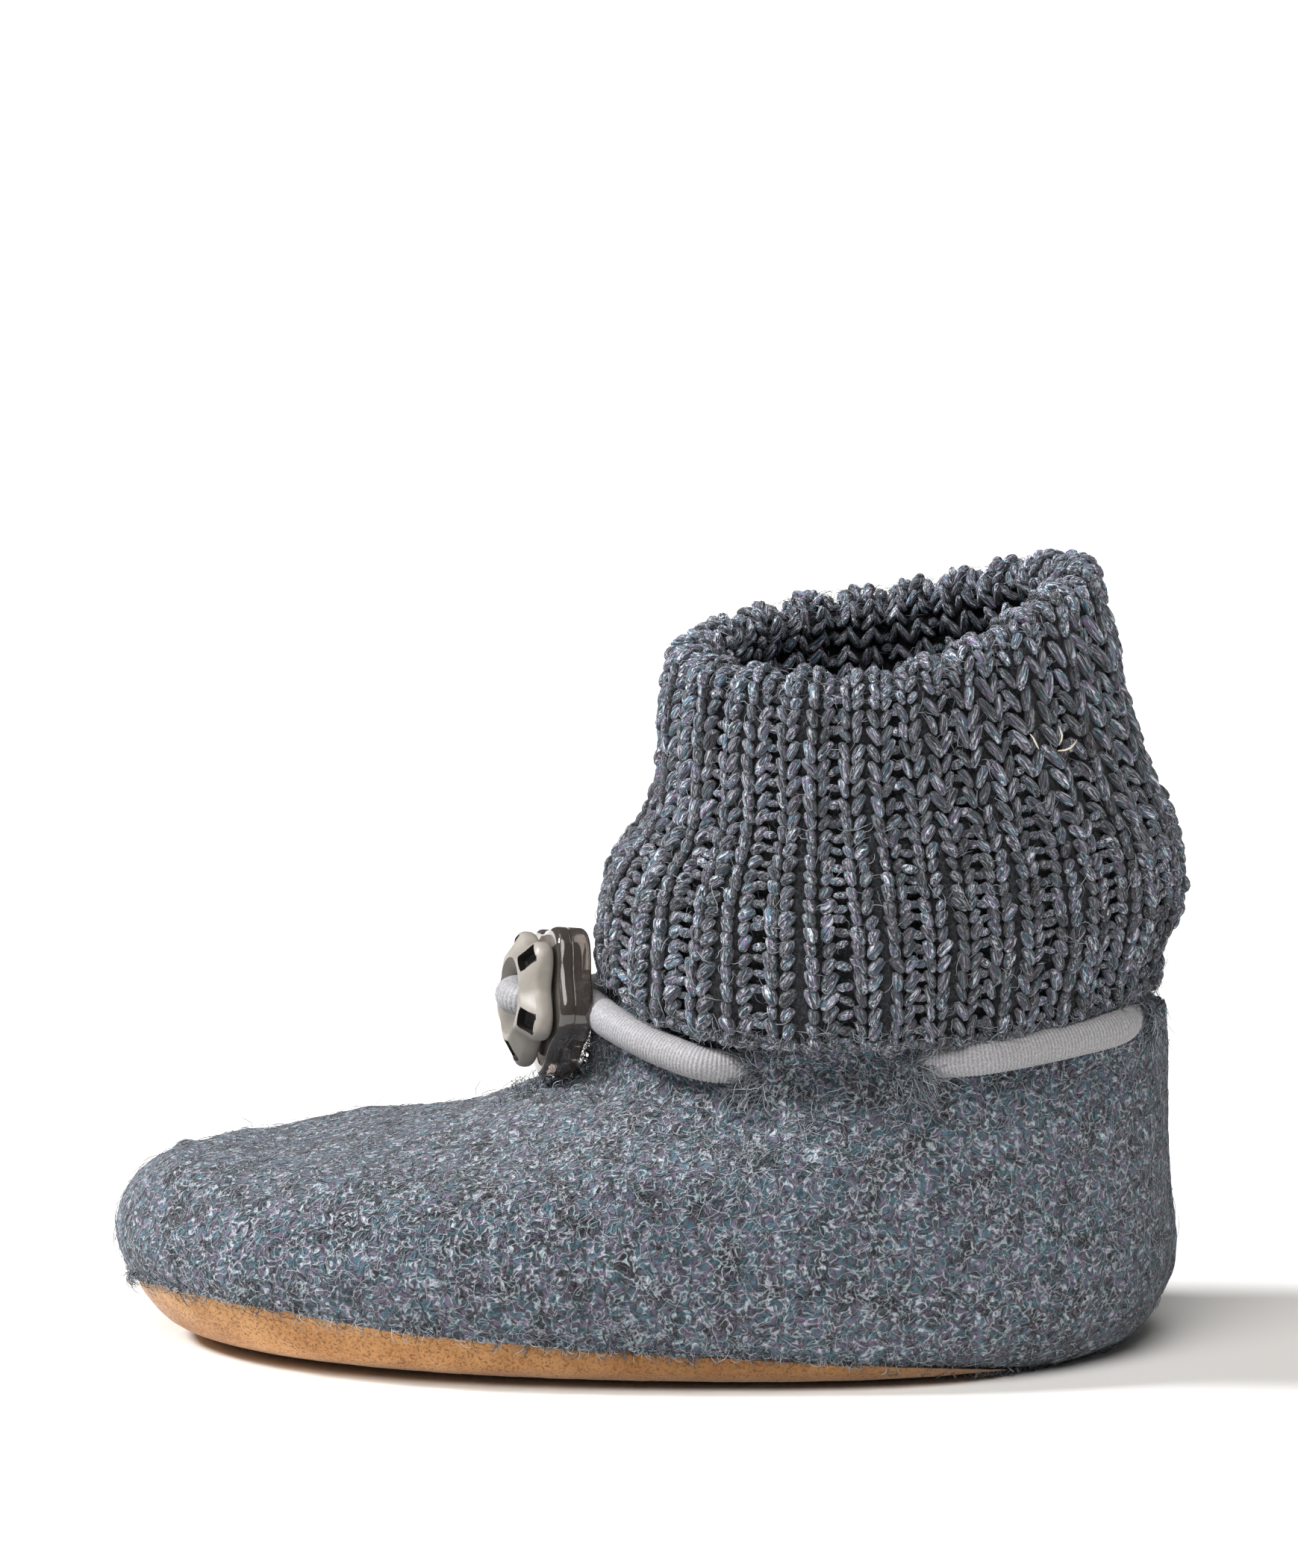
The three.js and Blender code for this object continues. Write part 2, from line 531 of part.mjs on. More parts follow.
// Knit cuff
function cuffSolid() {
  const count = RIB_COUNT * POINTS_PER_RIB;
  const angles = cuffAngles(count);
  const outward = (angle) => {
    const along = cuffPoint(0, angle + SMALL_STEP).sub(cuffPoint(0, angle - SMALL_STEP));
    return new THREE.Vector3(along.y, -along.x, 0).normalize();
  };
  const innerRing = (level) => angles.map((angle) => cuffPoint(level, angle));
  const outerRing = (level) => angles.map((angle, index) => {
    const wall = columnAt(CUFF_RINGS, CUFF_COLUMNS.indexOf("wall"), level) * CUFF_WALL;
    const share = ((index + POINTS_PER_RIB / 2) % POINTS_PER_RIB) / POINTS_PER_RIB;
    return cuffPoint(level, angle).addScaledVector(outward(angle), wall - ribInset(share));
  });
  const rimInner = innerRing(CUFF_RIM_LEVEL);
  const rimOuter = outerRing(CUFF_RIM_LEVEL);
  const roll = RIM_TURNS.map(THREE.MathUtils.degToRad).map((turn) => angles.map((unused, index) => {
    const middle = rimInner[index].clone().add(rimOuter[index]).multiplyScalar(0.5);
    const half = rimOuter[index].clone().sub(rimInner[index]).multiplyScalar(0.5);
    const rise = half.length() * Math.sin(turn);
    return middle.addScaledVector(half, Math.cos(turn)).add(new THREE.Vector3(0, 0, rise));
  }));
  const outside = CUFF_OUTER_LEVELS.map(outerRing);
  const inside = CUFF_INNER_LEVELS.map(innerRing);
  return meshFromRings([...outside, rimOuter, ...roll, rimInner, ...inside], true);
}

// Cord lock: two lobed plates, the base against the ankle and the cap in front of it
function lobedPlate(radius, scallop, thickness, back) {
  const middle = radius - scallop - LOCK_BEVEL;
  const outline = Array.from({ length: PLATE_POINTS }, (unused, index) => {
    const turn = index / PLATE_POINTS * 2 * Math.PI;
    const reach = middle + scallop * Math.cos(LOCK_LOBES * (turn - Math.PI / 2));
    return new THREE.Vector2(reach * Math.cos(turn), reach * Math.sin(turn));
  });
  const plate = new THREE.ExtrudeGeometry(new THREE.Shape(outline), {
    depth: thickness - 2 * LOCK_BEVEL,
    bevelThickness: LOCK_BEVEL,
    bevelSize: LOCK_BEVEL,
    bevelSegments: 2,
    steps: 1,
  });
  return plate.translate(0, 0, back + LOCK_BEVEL);
}

// Cuts the two strands' passage through a piece of the lock
function withPassage(geometry) {
  const passage = solidFrom(cordTube(CORD_RADIUS + CLEARANCE));
  return geometryFrom(solidFrom(geometry.applyMatrix4(lockMatrix())).subtract(passage));
}

function baseSolid() {
  return withPassage(lobedPlate(BASE_RADIUS, BASE_SCALLOP, BASE_THICKNESS, -BASE_THICKNESS / 2));
}

function capSolid() {
  const back = BASE_THICKNESS / 2 + CLEARANCE;
  const front = back + CAP_THICKNESS;
  const plate = lobedPlate(CAP_RADIUS, CAP_SCALLOP, CAP_THICKNESS, back);
  const dish = new THREE.CylinderGeometry(
    CAP_DISH_RADIUS + CUT_SPARE / 2,
    CAP_DISH_RADIUS - CAP_DISH_TAPER,
    CAP_DISH_DEPTH + CUT_SPARE,
    DISH_SIDES,
  );
  dish.rotateX(Math.PI / 2).translate(0, 0, front + (CUT_SPARE - CAP_DISH_DEPTH) / 2);
  let cap = solidFrom(plate).subtract(solidFrom(dish));
  for (let lobe = 0; lobe < LOCK_LOBES; lobe += 1) {
    const turn = Math.PI / 2 + lobe * 2 * Math.PI / LOCK_LOBES;
    const pit = new THREE.BoxGeometry(PIT_SIZE, PIT_SIZE, PIT_DEPTH + CUT_SPARE);
    pit.rotateZ(turn).translate(
      PIT_RADIUS * Math.cos(turn),
      PIT_RADIUS * Math.sin(turn),
      front + (CUT_SPARE - PIT_DEPTH) / 2,
    );
    cap = cap.subtract(solidFrom(pit));
  }
  return withPassage(geometryFrom(cap));
}

const FINISHES = {
  wool: { color: "#6a7079", roughness: 0.95, metalness: 0 },
  knit: { color: "#595e67", roughness: 0.95, metalness: 0 },
  suede: { color: "#bb8d60", roughness: 0.9, metalness: 0 },
  lining: { color: "#8d9096", roughness: 0.95, metalness: 0 },
  cord: { color: "#cfd0d3", roughness: 0.7, metalness: 0 },
  smoky: { color: "#5d5653", roughness: 0.25, metalness: 0 },
  shell: { color: "#aaa7a1", roughness: 0.4, metalness: 0 },
};

function piece(name, geometry, finish) {
  const mesh = new THREE.Mesh(geometry, new THREE.MeshStandardMaterial(FINISHES[finish]));
  mesh.name = name;
  return mesh;
}

const group = new THREE.Group();
group.add(
  piece("outsole", soleSolid(), "suede"),
  piece("upper", upperSolid(), "wool"),
  piece("insole", insoleSolid(), "lining"),
  piece("knit_cuff", cuffSolid(), "knit"),
  piece("drawcord", cordTube(CORD_RADIUS), "cord"),
  piece("cord_lock_base", baseSolid(), "smoky"),
  piece("cord_lock_cap", capSolid(), "shell"),
);

// The origin is the middle of the shoe's footprint, on the floor
const box = new THREE.Box3().setFromObject(group);
const middle = box.getCenter(new THREE.Vector3());
group.position.set(-middle.x, -middle.y, -box.min.z);

export default group;
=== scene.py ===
"""Looks of a baby slipper: boiled wool upper, suede cup sole, ribbed knit cuff, drawcord and lock.

Lengths are written in millimetres and turned to metres by MM when a mesh is placed. The frame is
the part's own: +X to the toe, +Y to the outer side, +Z up, and the slipper stands on z = 0.
"""

from __future__ import annotations

import logging
import math
from collections.abc import Callable, Sequence
from dataclasses import dataclass, field
from enum import Enum

import bmesh
import bpy
import numpy as np
from mathutils import Matrix, Vector, noise

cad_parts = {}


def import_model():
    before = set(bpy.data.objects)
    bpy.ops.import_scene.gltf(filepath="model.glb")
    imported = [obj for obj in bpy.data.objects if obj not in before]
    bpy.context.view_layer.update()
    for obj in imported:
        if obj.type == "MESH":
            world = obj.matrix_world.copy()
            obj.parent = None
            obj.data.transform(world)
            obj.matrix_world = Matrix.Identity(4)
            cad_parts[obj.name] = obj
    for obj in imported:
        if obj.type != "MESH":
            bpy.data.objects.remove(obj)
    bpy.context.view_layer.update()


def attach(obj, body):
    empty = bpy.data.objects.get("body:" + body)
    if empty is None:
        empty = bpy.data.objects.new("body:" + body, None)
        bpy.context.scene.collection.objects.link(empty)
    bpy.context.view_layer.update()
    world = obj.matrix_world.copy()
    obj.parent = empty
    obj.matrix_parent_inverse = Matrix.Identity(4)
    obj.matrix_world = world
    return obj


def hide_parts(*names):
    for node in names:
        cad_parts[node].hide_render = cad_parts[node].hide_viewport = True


MM = 0.001
TURN = 2 * math.pi
BODY = "root"
LOG = logging.getLogger("slipper")

# From the middle of the foot's length to the middle of the slipper's footprint
ORIGIN_SHIFT = np.array([0.714, -0.037, 0.0])

# The foot's form, from the tread up to the collar, one row for each ring round the foot. front,
# back and widest are stations, as shares of the length from the heel. ball and ankle are shares
# of those two half widths. toe, instep, side, heel and collar are shares of the heights.
FOOT_COLUMNS = (
    "front", "back", "widest", "ball", "ankle", "toe", "instep", "side", "heel", "collar",
    "toe_full", "heel_full", "arch",
)
FOOT_RINGS = np.array([
    [0.787, 0.159, 0.4, 0.48, 0.0, 0.0, 0.0, 0.0, 0.0, 0.0, 2.0, 2.0, 1.0],
    [0.867, 0.066, 0.39, 0.735, 0.0, 0.0, 0.0, 0.0, 0.0, 0.0, 1.8, 2.0, 1.0],
    [0.918, 0.04, 0.41, 0.84, 0.0, 0.024, 0.0, 0.021, 0.02, 0.0, 2.1, 2.25, 0.7],
    [0.95, 0.022, 0.43, 0.92, 0.0, 0.083, 0.0, 0.07, 0.071, 0.0, 2.35, 2.45, 0.4],
    [0.975, 0.009, 0.45, 0.97, 0.0, 0.218, 0.0, 0.149, 0.147, 0.0, 2.55, 2.6, 0.2],
    [0.99, 0.002, 0.465, 0.997, 0.0, 0.389, 0.0, 0.247, 0.235, 0.0, 2.7, 2.65, 0.1],
    [1.0, 0.0, 0.47, 1.0, 0.0, 0.55, 0.0, 0.346, 0.33, 0.0, 2.7, 2.65, 0.0],
    [0.993, 0.003, 0.465, 0.944, 0.056, 0.725, 0.0, 0.452, 0.44, 0.0, 2.5, 2.6, 0.0],
    [0.969, 0.006, 0.45, 0.831, 0.169, 0.886, 0.0, 0.545, 0.55, 0.0, 2.15, 2.5, 0.0],
    [0.924, 0.008, 0.425, 0.704, 0.296, 0.969, 0.0, 0.625, 0.648, 0.0, 1.7, 2.4, 0.0],
    [0.863, 0.009, 0.4, 0.577, 0.423, 1.0, 0.0, 0.691, 0.733, 0.0, 1.35, 2.25, 0.0],
    [0.779, 0.009, 0.364, 0.423, 0.577, 1.0, 0.073, 0.766, 0.817, 0.0, 1.2, 2.2, 0.0],
    [0.698, 0.01, 0.336, 0.296, 0.704, 1.0, 0.198, 0.832, 0.88, 0.0, 1.25, 2.15, 0.0],
    [0.614, 0.012, 0.312, 0.169, 0.831, 1.0, 0.362, 0.894, 0.934, 0.0, 1.5, 2.1, 0.0],
    [0.566, 0.0145, 0.3, 0.085, 0.915, 1.0, 0.48, 0.939, 0.966, 0.0, 1.8, 2.05, 0.0],
    [0.542, 0.017, 0.294, 0.028, 0.972, 1.0, 0.695, 0.971, 0.983, 0.0, 1.95, 2.0, 0.0],
    [0.529, 0.0193, 0.2915, 0.0, 1.0, 1.0, 1.0, 1.0, 1.0, 0.0, 2.0, 2.0, 0.0],
    [0.519, 0.045, 0.2915, 0.0, 0.968, 1.0, 1.0, 1.0, 1.0, 0.5, 2.0, 2.0, 0.0],
    [0.514, 0.048, 0.2915, 0.0, 0.954, 1.0, 1.0, 1.0, 1.0, 1.0, 2.0, 2.0, 0.0],
])
WIDEST_LEVEL = 6
CORD_LEVEL = 16
COLLAR_LEVEL = 18

# Where the suede ends and the wool begins: direction from the toe in degrees, and foot level
SEAM_LINE = np.array([
    [0, 4.5], [22, 4.95], [45, 4.9], [70, 4.3], [95, 3.55], [120, 2.5], [142, 1.3], [160, 0.75],
    [180, 0.6],
])

# The cuff's inner face, one row for each ring from its hem to the start of the rim's roll. The
# three outs say how far a ring stands out from the ankle's, or in from it below 0, as shares of
# the draw. The rises are shares of the three rises, wall of the wall and lift of the far rim's
# lift. fall is how late a ring's height turns from its sides to its ends.
CUFF_COLUMNS = (
    "front_out", "side_out", "back_out", "front_rise", "side_rise", "back_rise", "wall", "lift",
    "fall",
)
CUFF_RINGS = np.array([
    [-0.06, 0.01, -0.13, 0.111, 0.066, 0.06, 0.43, 0.0, 2.6],
    [-0.07, 0.035, -0.12, 0.187, 0.161, 0.139, 0.47, 0.0, 2.5],
    [-0.11, 0.085, 0.01, 0.275, 0.278, 0.219, 0.5, 0.0, 2.3],
    [-0.175, 0.09, 0.045, 0.364, 0.383, 0.292, 0.53, 0.0, 2.1],
    [-0.335, 0.04, 0.0, 0.4545, 0.477, 0.375, 0.56, 0.0, 1.9],
    [-0.56, -0.055, -0.12, 0.54, 0.57, 0.458, 0.59, 0.05, 1.8],
    [-0.715, -0.154, -0.35, 0.641, 0.664, 0.567, 0.625, 0.1, 1.7],
    [-0.772, -0.244, -0.569, 0.768, 0.78, 0.706, 0.69, 0.25, 1.6],
    [-0.837, -0.341, -0.748, 0.894, 0.902, 0.851, 0.78, 0.6, 1.5],
    [-1.0, -0.496, -0.992, 1.0, 1.0, 1.0, 1.0, 1.0, 1.4],
])
RIM_LEVEL = 9

# The cord's route on one side: direction from the toe in degrees, and 1 outside the wool or -1
# inside it. The other side mirrors it.
CORD_ROUTE = (
    (22, 1), (32, 1), (43, 1), (53, 0.95), (60, 0.45), (66, -0.15), (73, -0.8), (82, -1),
    (92, -0.8), (98, -0.15), (104, 0.45), (111, 0.95), (122, 1), (134, 1), (145, 0.95),
    (152, 0.5), (159, -0.1), (167, -0.75), (180, -1),
)

Place = Callable[[np.ndarray, np.ndarray], np.ndarray]
Values = np.ndarray | float
Colour = tuple[float, float, float]
Shade = tuple[float, float, float, float]


class Side(Enum):
    """Which side of the slipper a crease lies on."""

    OUTER = 1
    INNER = -1
    BOTH = 0


def bell(distance: np.ndarray, width: float) -> np.ndarray:
    """A bell curve, 1 in the middle and nearly 0 at one width from it."""
    return np.exp(-((1.5 * distance / width) ** 2))


def smooth(value: np.ndarray, low: float, high: float) -> np.ndarray:
    """A smooth step from 0 at low to 1 at high."""
    share = np.clip((value - low) / (high - low), 0, 1)
    return share * share * (3 - 2 * share)


def between_rows(rows: np.ndarray, level: np.ndarray) -> np.ndarray:
    """Values of a smooth curve through each of a table's columns.

    Args:
        rows: the table.
        level: places between its rows, of any shape.

    Returns:
        One value for each place and column.
    """
    last = len(rows) - 1
    low = np.clip(np.floor(level).astype(int), 0, last - 1)
    share = (level - low)[..., None]
    before, start, end, after = (rows[np.clip(low + step, 0, last)] for step in (-1, 0, 1, 2))
    bend = 2 * before - 5 * start + 4 * end - after
    twist = 3 * start - before - 3 * end + after
    return 0.5 * (2 * start + (end - before) * share + bend * share**2 + twist * share**3)


def unit(vectors: np.ndarray) -> np.ndarray:
    """The same vectors at length 1."""
    return vectors / np.maximum(np.linalg.norm(vectors, axis=-1, keepdims=True), 1e-12)


def ring_point(ring: dict[str, np.ndarray], angle: np.ndarray) -> np.ndarray:
    """Points on closed rings that are blunt or pointed at their two ends.

    Args:
        ring: its front, back and widest stations, half width, fullness and heights.
        angle: the direction of each point, from the toe.

    Returns:
        The points, in millimetres.
    """
    forward = np.cos(angle)
    ahead = forward >= 0
    reach = np.where(ahead, ring["front"] - ring["widest"], ring["widest"] - ring["back"])
    full = np.where(ahead, ring["front_full"], ring["back_full"])
    end = np.where(ahead, ring["front_height"], ring["back_height"])
    bend = np.abs(forward)
    x = ring["widest"] + np.sign(forward) * reach * bend ** (2 / full)
    y = ring["half_width"] * np.sin(angle)
    z = ring["side_height"] + (end - ring["side_height"]) * bend ** ring["fall"]
    return np.stack([x, y, np.maximum(z, 0)], axis=-1)


def even_angles(point: Callable[[np.ndarray], np.ndarray], share: np.ndarray) -> np.ndarray:
    """Directions that divide a ring's girth evenly.

    Args:
        point: gives the ring's points for directions.
        share: shares of the girth, from 0 to 1.

    Returns:
        The direction at each share.
    """
    angles = np.linspace(0, TURN, 1441)
    steps = np.linalg.norm(np.diff(point(angles), axis=0), axis=-1)
    girth = np.concatenate([[0], np.cumsum(steps)])
    return np.interp(share, girth / girth[-1], angles)


@dataclass(frozen=True)
class Last:
    """The foot's form that the wool, the suede and the insole all follow."""

    foot_length: float = 123.8
    ball_width: float = 58.0
    ankle_width: float = 43.8
    toe_height: float = 22.9
    instep_height: float = 40.6
    ankle_side_height: float = 37.6
    heel_height: float = 40.9
    collar_rise: float = 7.2
    toe_swing: float = 2.4
    arch_depth: float = 3.2
    arch_station: float = 0.42
    arch_length: float = 22.0

    @property
    def heel_back(self) -> float:
        """Where the back of the heel lies along X."""
        return -self.foot_length / 2

    def point(self, level: np.ndarray, angle: np.ndarray) -> np.ndarray:
        """Points of the foot's face.

        Args:
            level: how far up the rows of FOOT_RINGS.
            angle: direction from the toe.

        Returns:
            The points, in millimetres from the middle of the foot's length.
        """
        level, angle = np.broadcast_arrays(np.asarray(level, float), np.asarray(angle, float))
        row = dict(zip(FOOT_COLUMNS, np.moveaxis(between_rows(FOOT_RINGS, level), -1, 0)))
        collar = row["collar"] * self.collar_rise
        instep = row["instep"] * (self.instep_height - self.toe_height)
        spot = ring_point({
            "front": self.heel_back + row["front"] * self.foot_length,
            "back": self.heel_back + row["back"] * self.foot_length,
            "widest": self.heel_back + row["widest"] * self.foot_length,
            "half_width": (row["ball"] * self.ball_width + row["ankle"] * self.ankle_width) / 2,
            "front_height": row["toe"] * self.toe_height + instep + collar,
            "side_height": row["side"] * self.ankle_side_height + collar,
            "back_height": row["heel"] * self.heel_height + collar,
            "front_full": row["toe_full"],
            "back_full": row["heel_full"],
            "fall": 2,
        }, angle)
        inner_side = np.maximum(0, -np.sin(angle))
        arch_middle = self.heel_back + self.arch_station * self.foot_length
        arch = self.arch_depth * row["arch"] * inner_side
        spot[..., 1] += arch * bell(spot[..., 0] - arch_middle, self.arch_length)
        forefoot = np.maximum(0, spot[..., 0] / (self.heel_back + self.foot_length))
        spot[..., 1] -= self.toe_swing * forefoot**2
        return spot

    def normal(self, level: np.ndarray, angle: np.ndarray) -> np.ndarray:
        """The face's outward directions at levels and angles.

        Args:
            level: how far up the rows of FOOT_RINGS.
            angle: direction from the toe.

        Returns:
            One unit vector for each place.
        """
        step = 0.02
        along = self.point(level, angle + step) - self.point(level, angle - step)
        up = self.point(level + step, angle) - self.point(level - step, angle)
        return unit(np.cross(along, up))

    def speed(self, level: np.ndarray, angle: np.ndarray) -> np.ndarray:
        """How many millimetres one level is worth at levels and angles.

        Args:
            level: how far up the rows of FOOT_RINGS.
            angle: direction from the toe.

        Returns:
            One length for each place.
        """
        step = 0.02
        up = self.point(level + step, angle) - self.point(level - step, angle)
        return np.linalg.norm(up, axis=-1) / (2 * step)

    def layer(self, level: np.ndarray, angle: np.ndarray, depth: np.ndarray) -> np.ndarray:
        """Points a set depth under the foot's face."""
        level, angle, depth = np.broadcast_arrays(level, angle, depth)
        return self.point(level, angle) - self.normal(level, angle) * depth[..., None]

    def seam_level(self, angle: np.ndarray) -> np.ndarray:
        """The level at which the suede ends, by a smooth curve through SEAM_LINE.

        Args:
            angle: direction from the toe.

        Returns:
            One level for each direction.
        """
        direction = np.abs(np.degrees(np.arctan2(np.sin(angle), np.cos(angle))))
        keys, values = SEAM_LINE[:, 0], SEAM_LINE[:, 1]
        slopes = np.gradient(values, keys)
        slopes[0] = (values[1] - values[0]) / (keys[1] - keys[0])
        slopes[-1] = (values[-1] - values[-2]) / (keys[-1] - keys[-2])
        low = np.clip(np.searchsorted(keys, direction) - 1, 0, len(keys) - 2)
        gap = keys[low + 1] - keys[low]
        share = (direction - keys[low]) / gap
        rise = share * share * (3 - 2 * share)
        leave = share * (1 - share) ** 2 * gap * slopes[low]
        arrive = -share * share * (1 - share) * gap * slopes[low + 1]
        return values[low] + (values[low + 1] - values[low]) * rise + leave + arrive

    def angles(self, share: np.ndarray) -> np.ndarray:
        """Directions that divide the foot's widest ring evenly."""
        return even_angles(lambda angle: self.point(WIDEST_LEVEL, angle), share)


@dataclass(frozen=True)
class CuffForm:
    """The knitted cuff's form: its inner face, its wall, its ribs and its rolled rim."""

    last: Last = Last()
    front_rise: float = 39.6
    side_rise: float = 42.8
    back_rise: float = 49.2
    far_rim_lift: float = 2.8
    draw: float = 12.3
    wall: float = 6.4
    ribs: int = 20
    rib_depth: float = 1.3
    valley_width: float = 0.26

    def inner(self, level: np.ndarray, angle: np.ndarray) -> np.ndarray:
        """Points of the cuff's inner face, from the hem at level 0 to the rim.

        Args:
            level: how far up the rows of CUFF_RINGS.
            angle: direction from the toe.

        Returns:
            The points, in millimetres from the middle of the foot's length.
        """
        level, angle = np.broadcast_arrays(np.asarray(level, float), np.asarray(angle, float))
        row = dict(zip(CUFF_COLUMNS, np.moveaxis(between_rows(CUFF_RINGS, level), -1, 0)))
        ankle = dict(zip(FOOT_COLUMNS, FOOT_RINGS[CORD_LEVEL]))
        last = self.last
        lift = np.where(np.sin(angle) < 0, row["lift"] * self.far_rim_lift, 0)
        lift = lift * smooth(np.abs(np.sin(angle)), 0, 0.5)
        back = last.heel_back + ankle["back"] * last.foot_length - row["back_out"] * self.draw
        front = last.heel_back + ankle["front"] * last.foot_length + row["front_out"] * self.draw
        return ring_point({
            "front": front,
            "back": back,
            "widest": last.heel_back + ankle["widest"] * last.foot_length,
            "half_width": last.ankle_width / 2 + row["side_out"] * self.draw,
            "front_height": last.instep_height + row["front_rise"] * self.front_rise,
            "side_height": last.ankle_side_height + row["side_rise"] * self.side_rise + lift,
            "back_height": last.heel_height + row["back_rise"] * self.back_rise,
            "front_full": 2,
            "back_full": 2,
            "fall": row["fall"],
        }, angle)

    def outward(self, angle: np.ndarray) -> np.ndarray:
        """The level outward directions of the cuff's wall.

        Args:
            angle: direction from the toe.

        Returns:
            One unit vector for each direction.
        """
        step = 0.02
        along = self.inner(0.0, angle + step) - self.inner(0.0, angle - step)
        return unit(np.stack([along[..., 1], -along[..., 0], np.zeros_like(angle)], axis=-1))

    def angles(self, share: np.ndarray) -> np.ndarray:
        """Directions that divide the girth evenly, so that the ribs are equally wide."""
        return even_angles(lambda angle: self.inner(RIM_LEVEL / 2, angle), share)

    def wall_path(self, along: np.ndarray, angle: np.ndarray, inset: Values) -> np.ndarray:
        """Points on the cuff's skin, from the hem up the outside, over the rim and down inside.

        Args:
            along: 0 to 1 up the outside, 1 to 2 over the rim's roll, 2 to 3 down the inside.
            angle: direction from the toe.
            inset: how far the point lies under the skin.

        Returns:
            The points, in millimetres from the middle of the foot's length.
        """
        along, angle, inset = np.broadcast_arrays(along, angle, inset)
        level = RIM_LEVEL * np.where(along < 1.5, np.clip(along, 0, 1), np.clip(3 - along, 0, 1))
        wall = between_rows(CUFF_RINGS, level)[..., CUFF_COLUMNS.index("wall")] * self.wall
        inside = self.inner(level, angle)
        outward = self.outward(angle)
        turn = np.clip(along - 1, 0, 1) * math.pi
        half = wall / 2
        reach = half + (half - inset) * np.cos(turn)
        rise = (half - inset) * np.sin(turn)
        spot = inside + outward * reach[..., None]
        spot[..., 2] += rise
        return spot


@dataclass(frozen=True)
class CordForm:
    """The drawcord's line: in and out of the wool, and through the lock with a bight in front."""

    last: Last = Last()
    diameter: float = 4.1
    wool_wall: float = 2.4
    float_gap: float = 0.5
    spacing: float = 5.2
    bight_reach: float = 2.1
    bight_setback: float = 0.8
    bight_steps: int = 6
    entry: float = 0.5
    lock_standoff: float = 6.3
    lock_lift: float = 0.2
    pitch: float = 6.0
    yaw: float = 14.5
    front_drop: float = 1.5
    back_rise: float = 0.8
    base_thickness: float = 4.1
    cap_thickness: float = 3.7
    dish_depth: float = 1.9
    clearance: float = 0.3

    def lock_matrix(self) -> Matrix:
        """The lock's own frame: x across it, y up it and z out of its face, in millimetres.

        Returns:
            The matrix from that frame to the slipper's.
        """
        wool = self.last.point(np.array(float(CORD_LEVEL)), np.array(0.0))
        pitch, yaw = math.radians(self.pitch), math.radians(self.yaw)
        level = math.cos(pitch)
        forward = Vector((level * math.cos(yaw), level * math.sin(yaw), math.sin(pitch)))
        across = Vector((0, 0, 1)).cross(forward).normalized()
        up = forward.cross(across)
        basis = Matrix((across, up, forward)).transposed().to_4x4()
        place = Vector((wool[0] + self.lock_standoff, 0, wool[2] + self.lock_lift))
        return Matrix.Translation(place + Vector(ORIGIN_SHIFT)) @ basis

    def on_ankle(self, hand: int) -> list[Vector]:
        """The points beside one side of the ankle, from the front to the back.

        Args:
            hand: 1 for the outer side and -1 for the inner one.

        Returns:
            The points, in millimetres.
        """
        outside = self.diameter / 2 + self.float_gap
        inside = -(self.wool_wall + self.diameter / 2 + self.float_gap)
        points = []
        for direction, side in CORD_ROUTE:
            angle = np.array(hand * math.radians(direction))
            level = np.array(float(CORD_LEVEL))
            outward = self.last.normal(level, angle)
            outward[2] = 0
            offset = (outside + inside) / 2 + side * (outside - inside) / 2
            spot = self.last.point(level, angle) + unit(outward) * offset + ORIGIN_SHIFT
            spot[2] -= self.front_drop * bell(np.array(direction - 60.0), 40.0)
            spot[2] += self.back_rise * bell(np.array(direction - 128.0), 50.0)
            points.append(Vector(spot))
        return points

    def in_lock(self) -> list[Vector]:
        """The points through the lock and round the bight, from the inner to the outer strand.

        Returns:
            The points, in millimetres.
        """
        half = self.spacing / 2
        back = -self.base_thickness / 2
        hub = self.base_thickness / 2 + self.clearance + self.cap_thickness - self.dish_depth
        stations = (back - self.entry, 0.0, hub - self.bight_setback)
        strand = [Vector((-half, 0, station)) for station in stations]
        bight = []
        for step in range(1, self.bight_steps):
            turn = math.pi * step / self.bight_steps
            reach = stations[-1] + self.bight_reach * math.sin(turn)
            bight.append(Vector((-half * math.cos(turn), 0, reach)))
        other = [Vector((half, 0, station)) for station in reversed(stations)]
        matrix = self.lock_matrix()
        return [matrix @ point for point in (*strand, *bight, *other)]

    def line(self, spacing: float) -> np.ndarray:
        """The whole closed line, at even steps.

        Args:
            spacing: about how far apart the points lie, in millimetres.

        Returns:
            The points, in millimetres, the first one not repeated.
        """
        knots = np.array([*self.in_lock(), *self.on_ankle(1), *self.on_ankle(-1)[-2::-1]])
        count = len(knots)
        fine = []
        for index in range(count):
            a, b, c, d = (knots[(index + step) % count] for step in (-1, 0, 1, 2))
            gaps = [math.sqrt(np.linalg.norm(q - p)) for p, q in ((a, b), (b, c), (c, d))]
            t = np.linspace(0, 1, 24, endpoint=False)[:, None]
            leave = (c - b) + gaps[1] * ((b - a) / gaps[0] - (c - a) / (gaps[0] + gaps[1]))
            arrive = (c - b) + gaps[1] * ((d - c) / gaps[2] - (d - b) / (gaps[1] + gaps[2]))
            square, cube = t**2, t**3
            fine.append(
                (2 * cube - 3 * square + 1) * b + (cube - 2 * square + t) * leave
                + (3 * square - 2 * cube) * c + (cube - square) * arrive
            )
        path = np.concatenate([*fine, fine[0][:1]])
        length = np.concatenate([[0], np.cumsum(np.linalg.norm(np.diff(path, axis=0), axis=1))])
        steps = int(round(length[-1] / spacing))
        wanted = np.arange(steps) / steps * length[-1]
        return np.stack([np.interp(wanted, length, path[:, axis]) for axis in range(3)], axis=1)

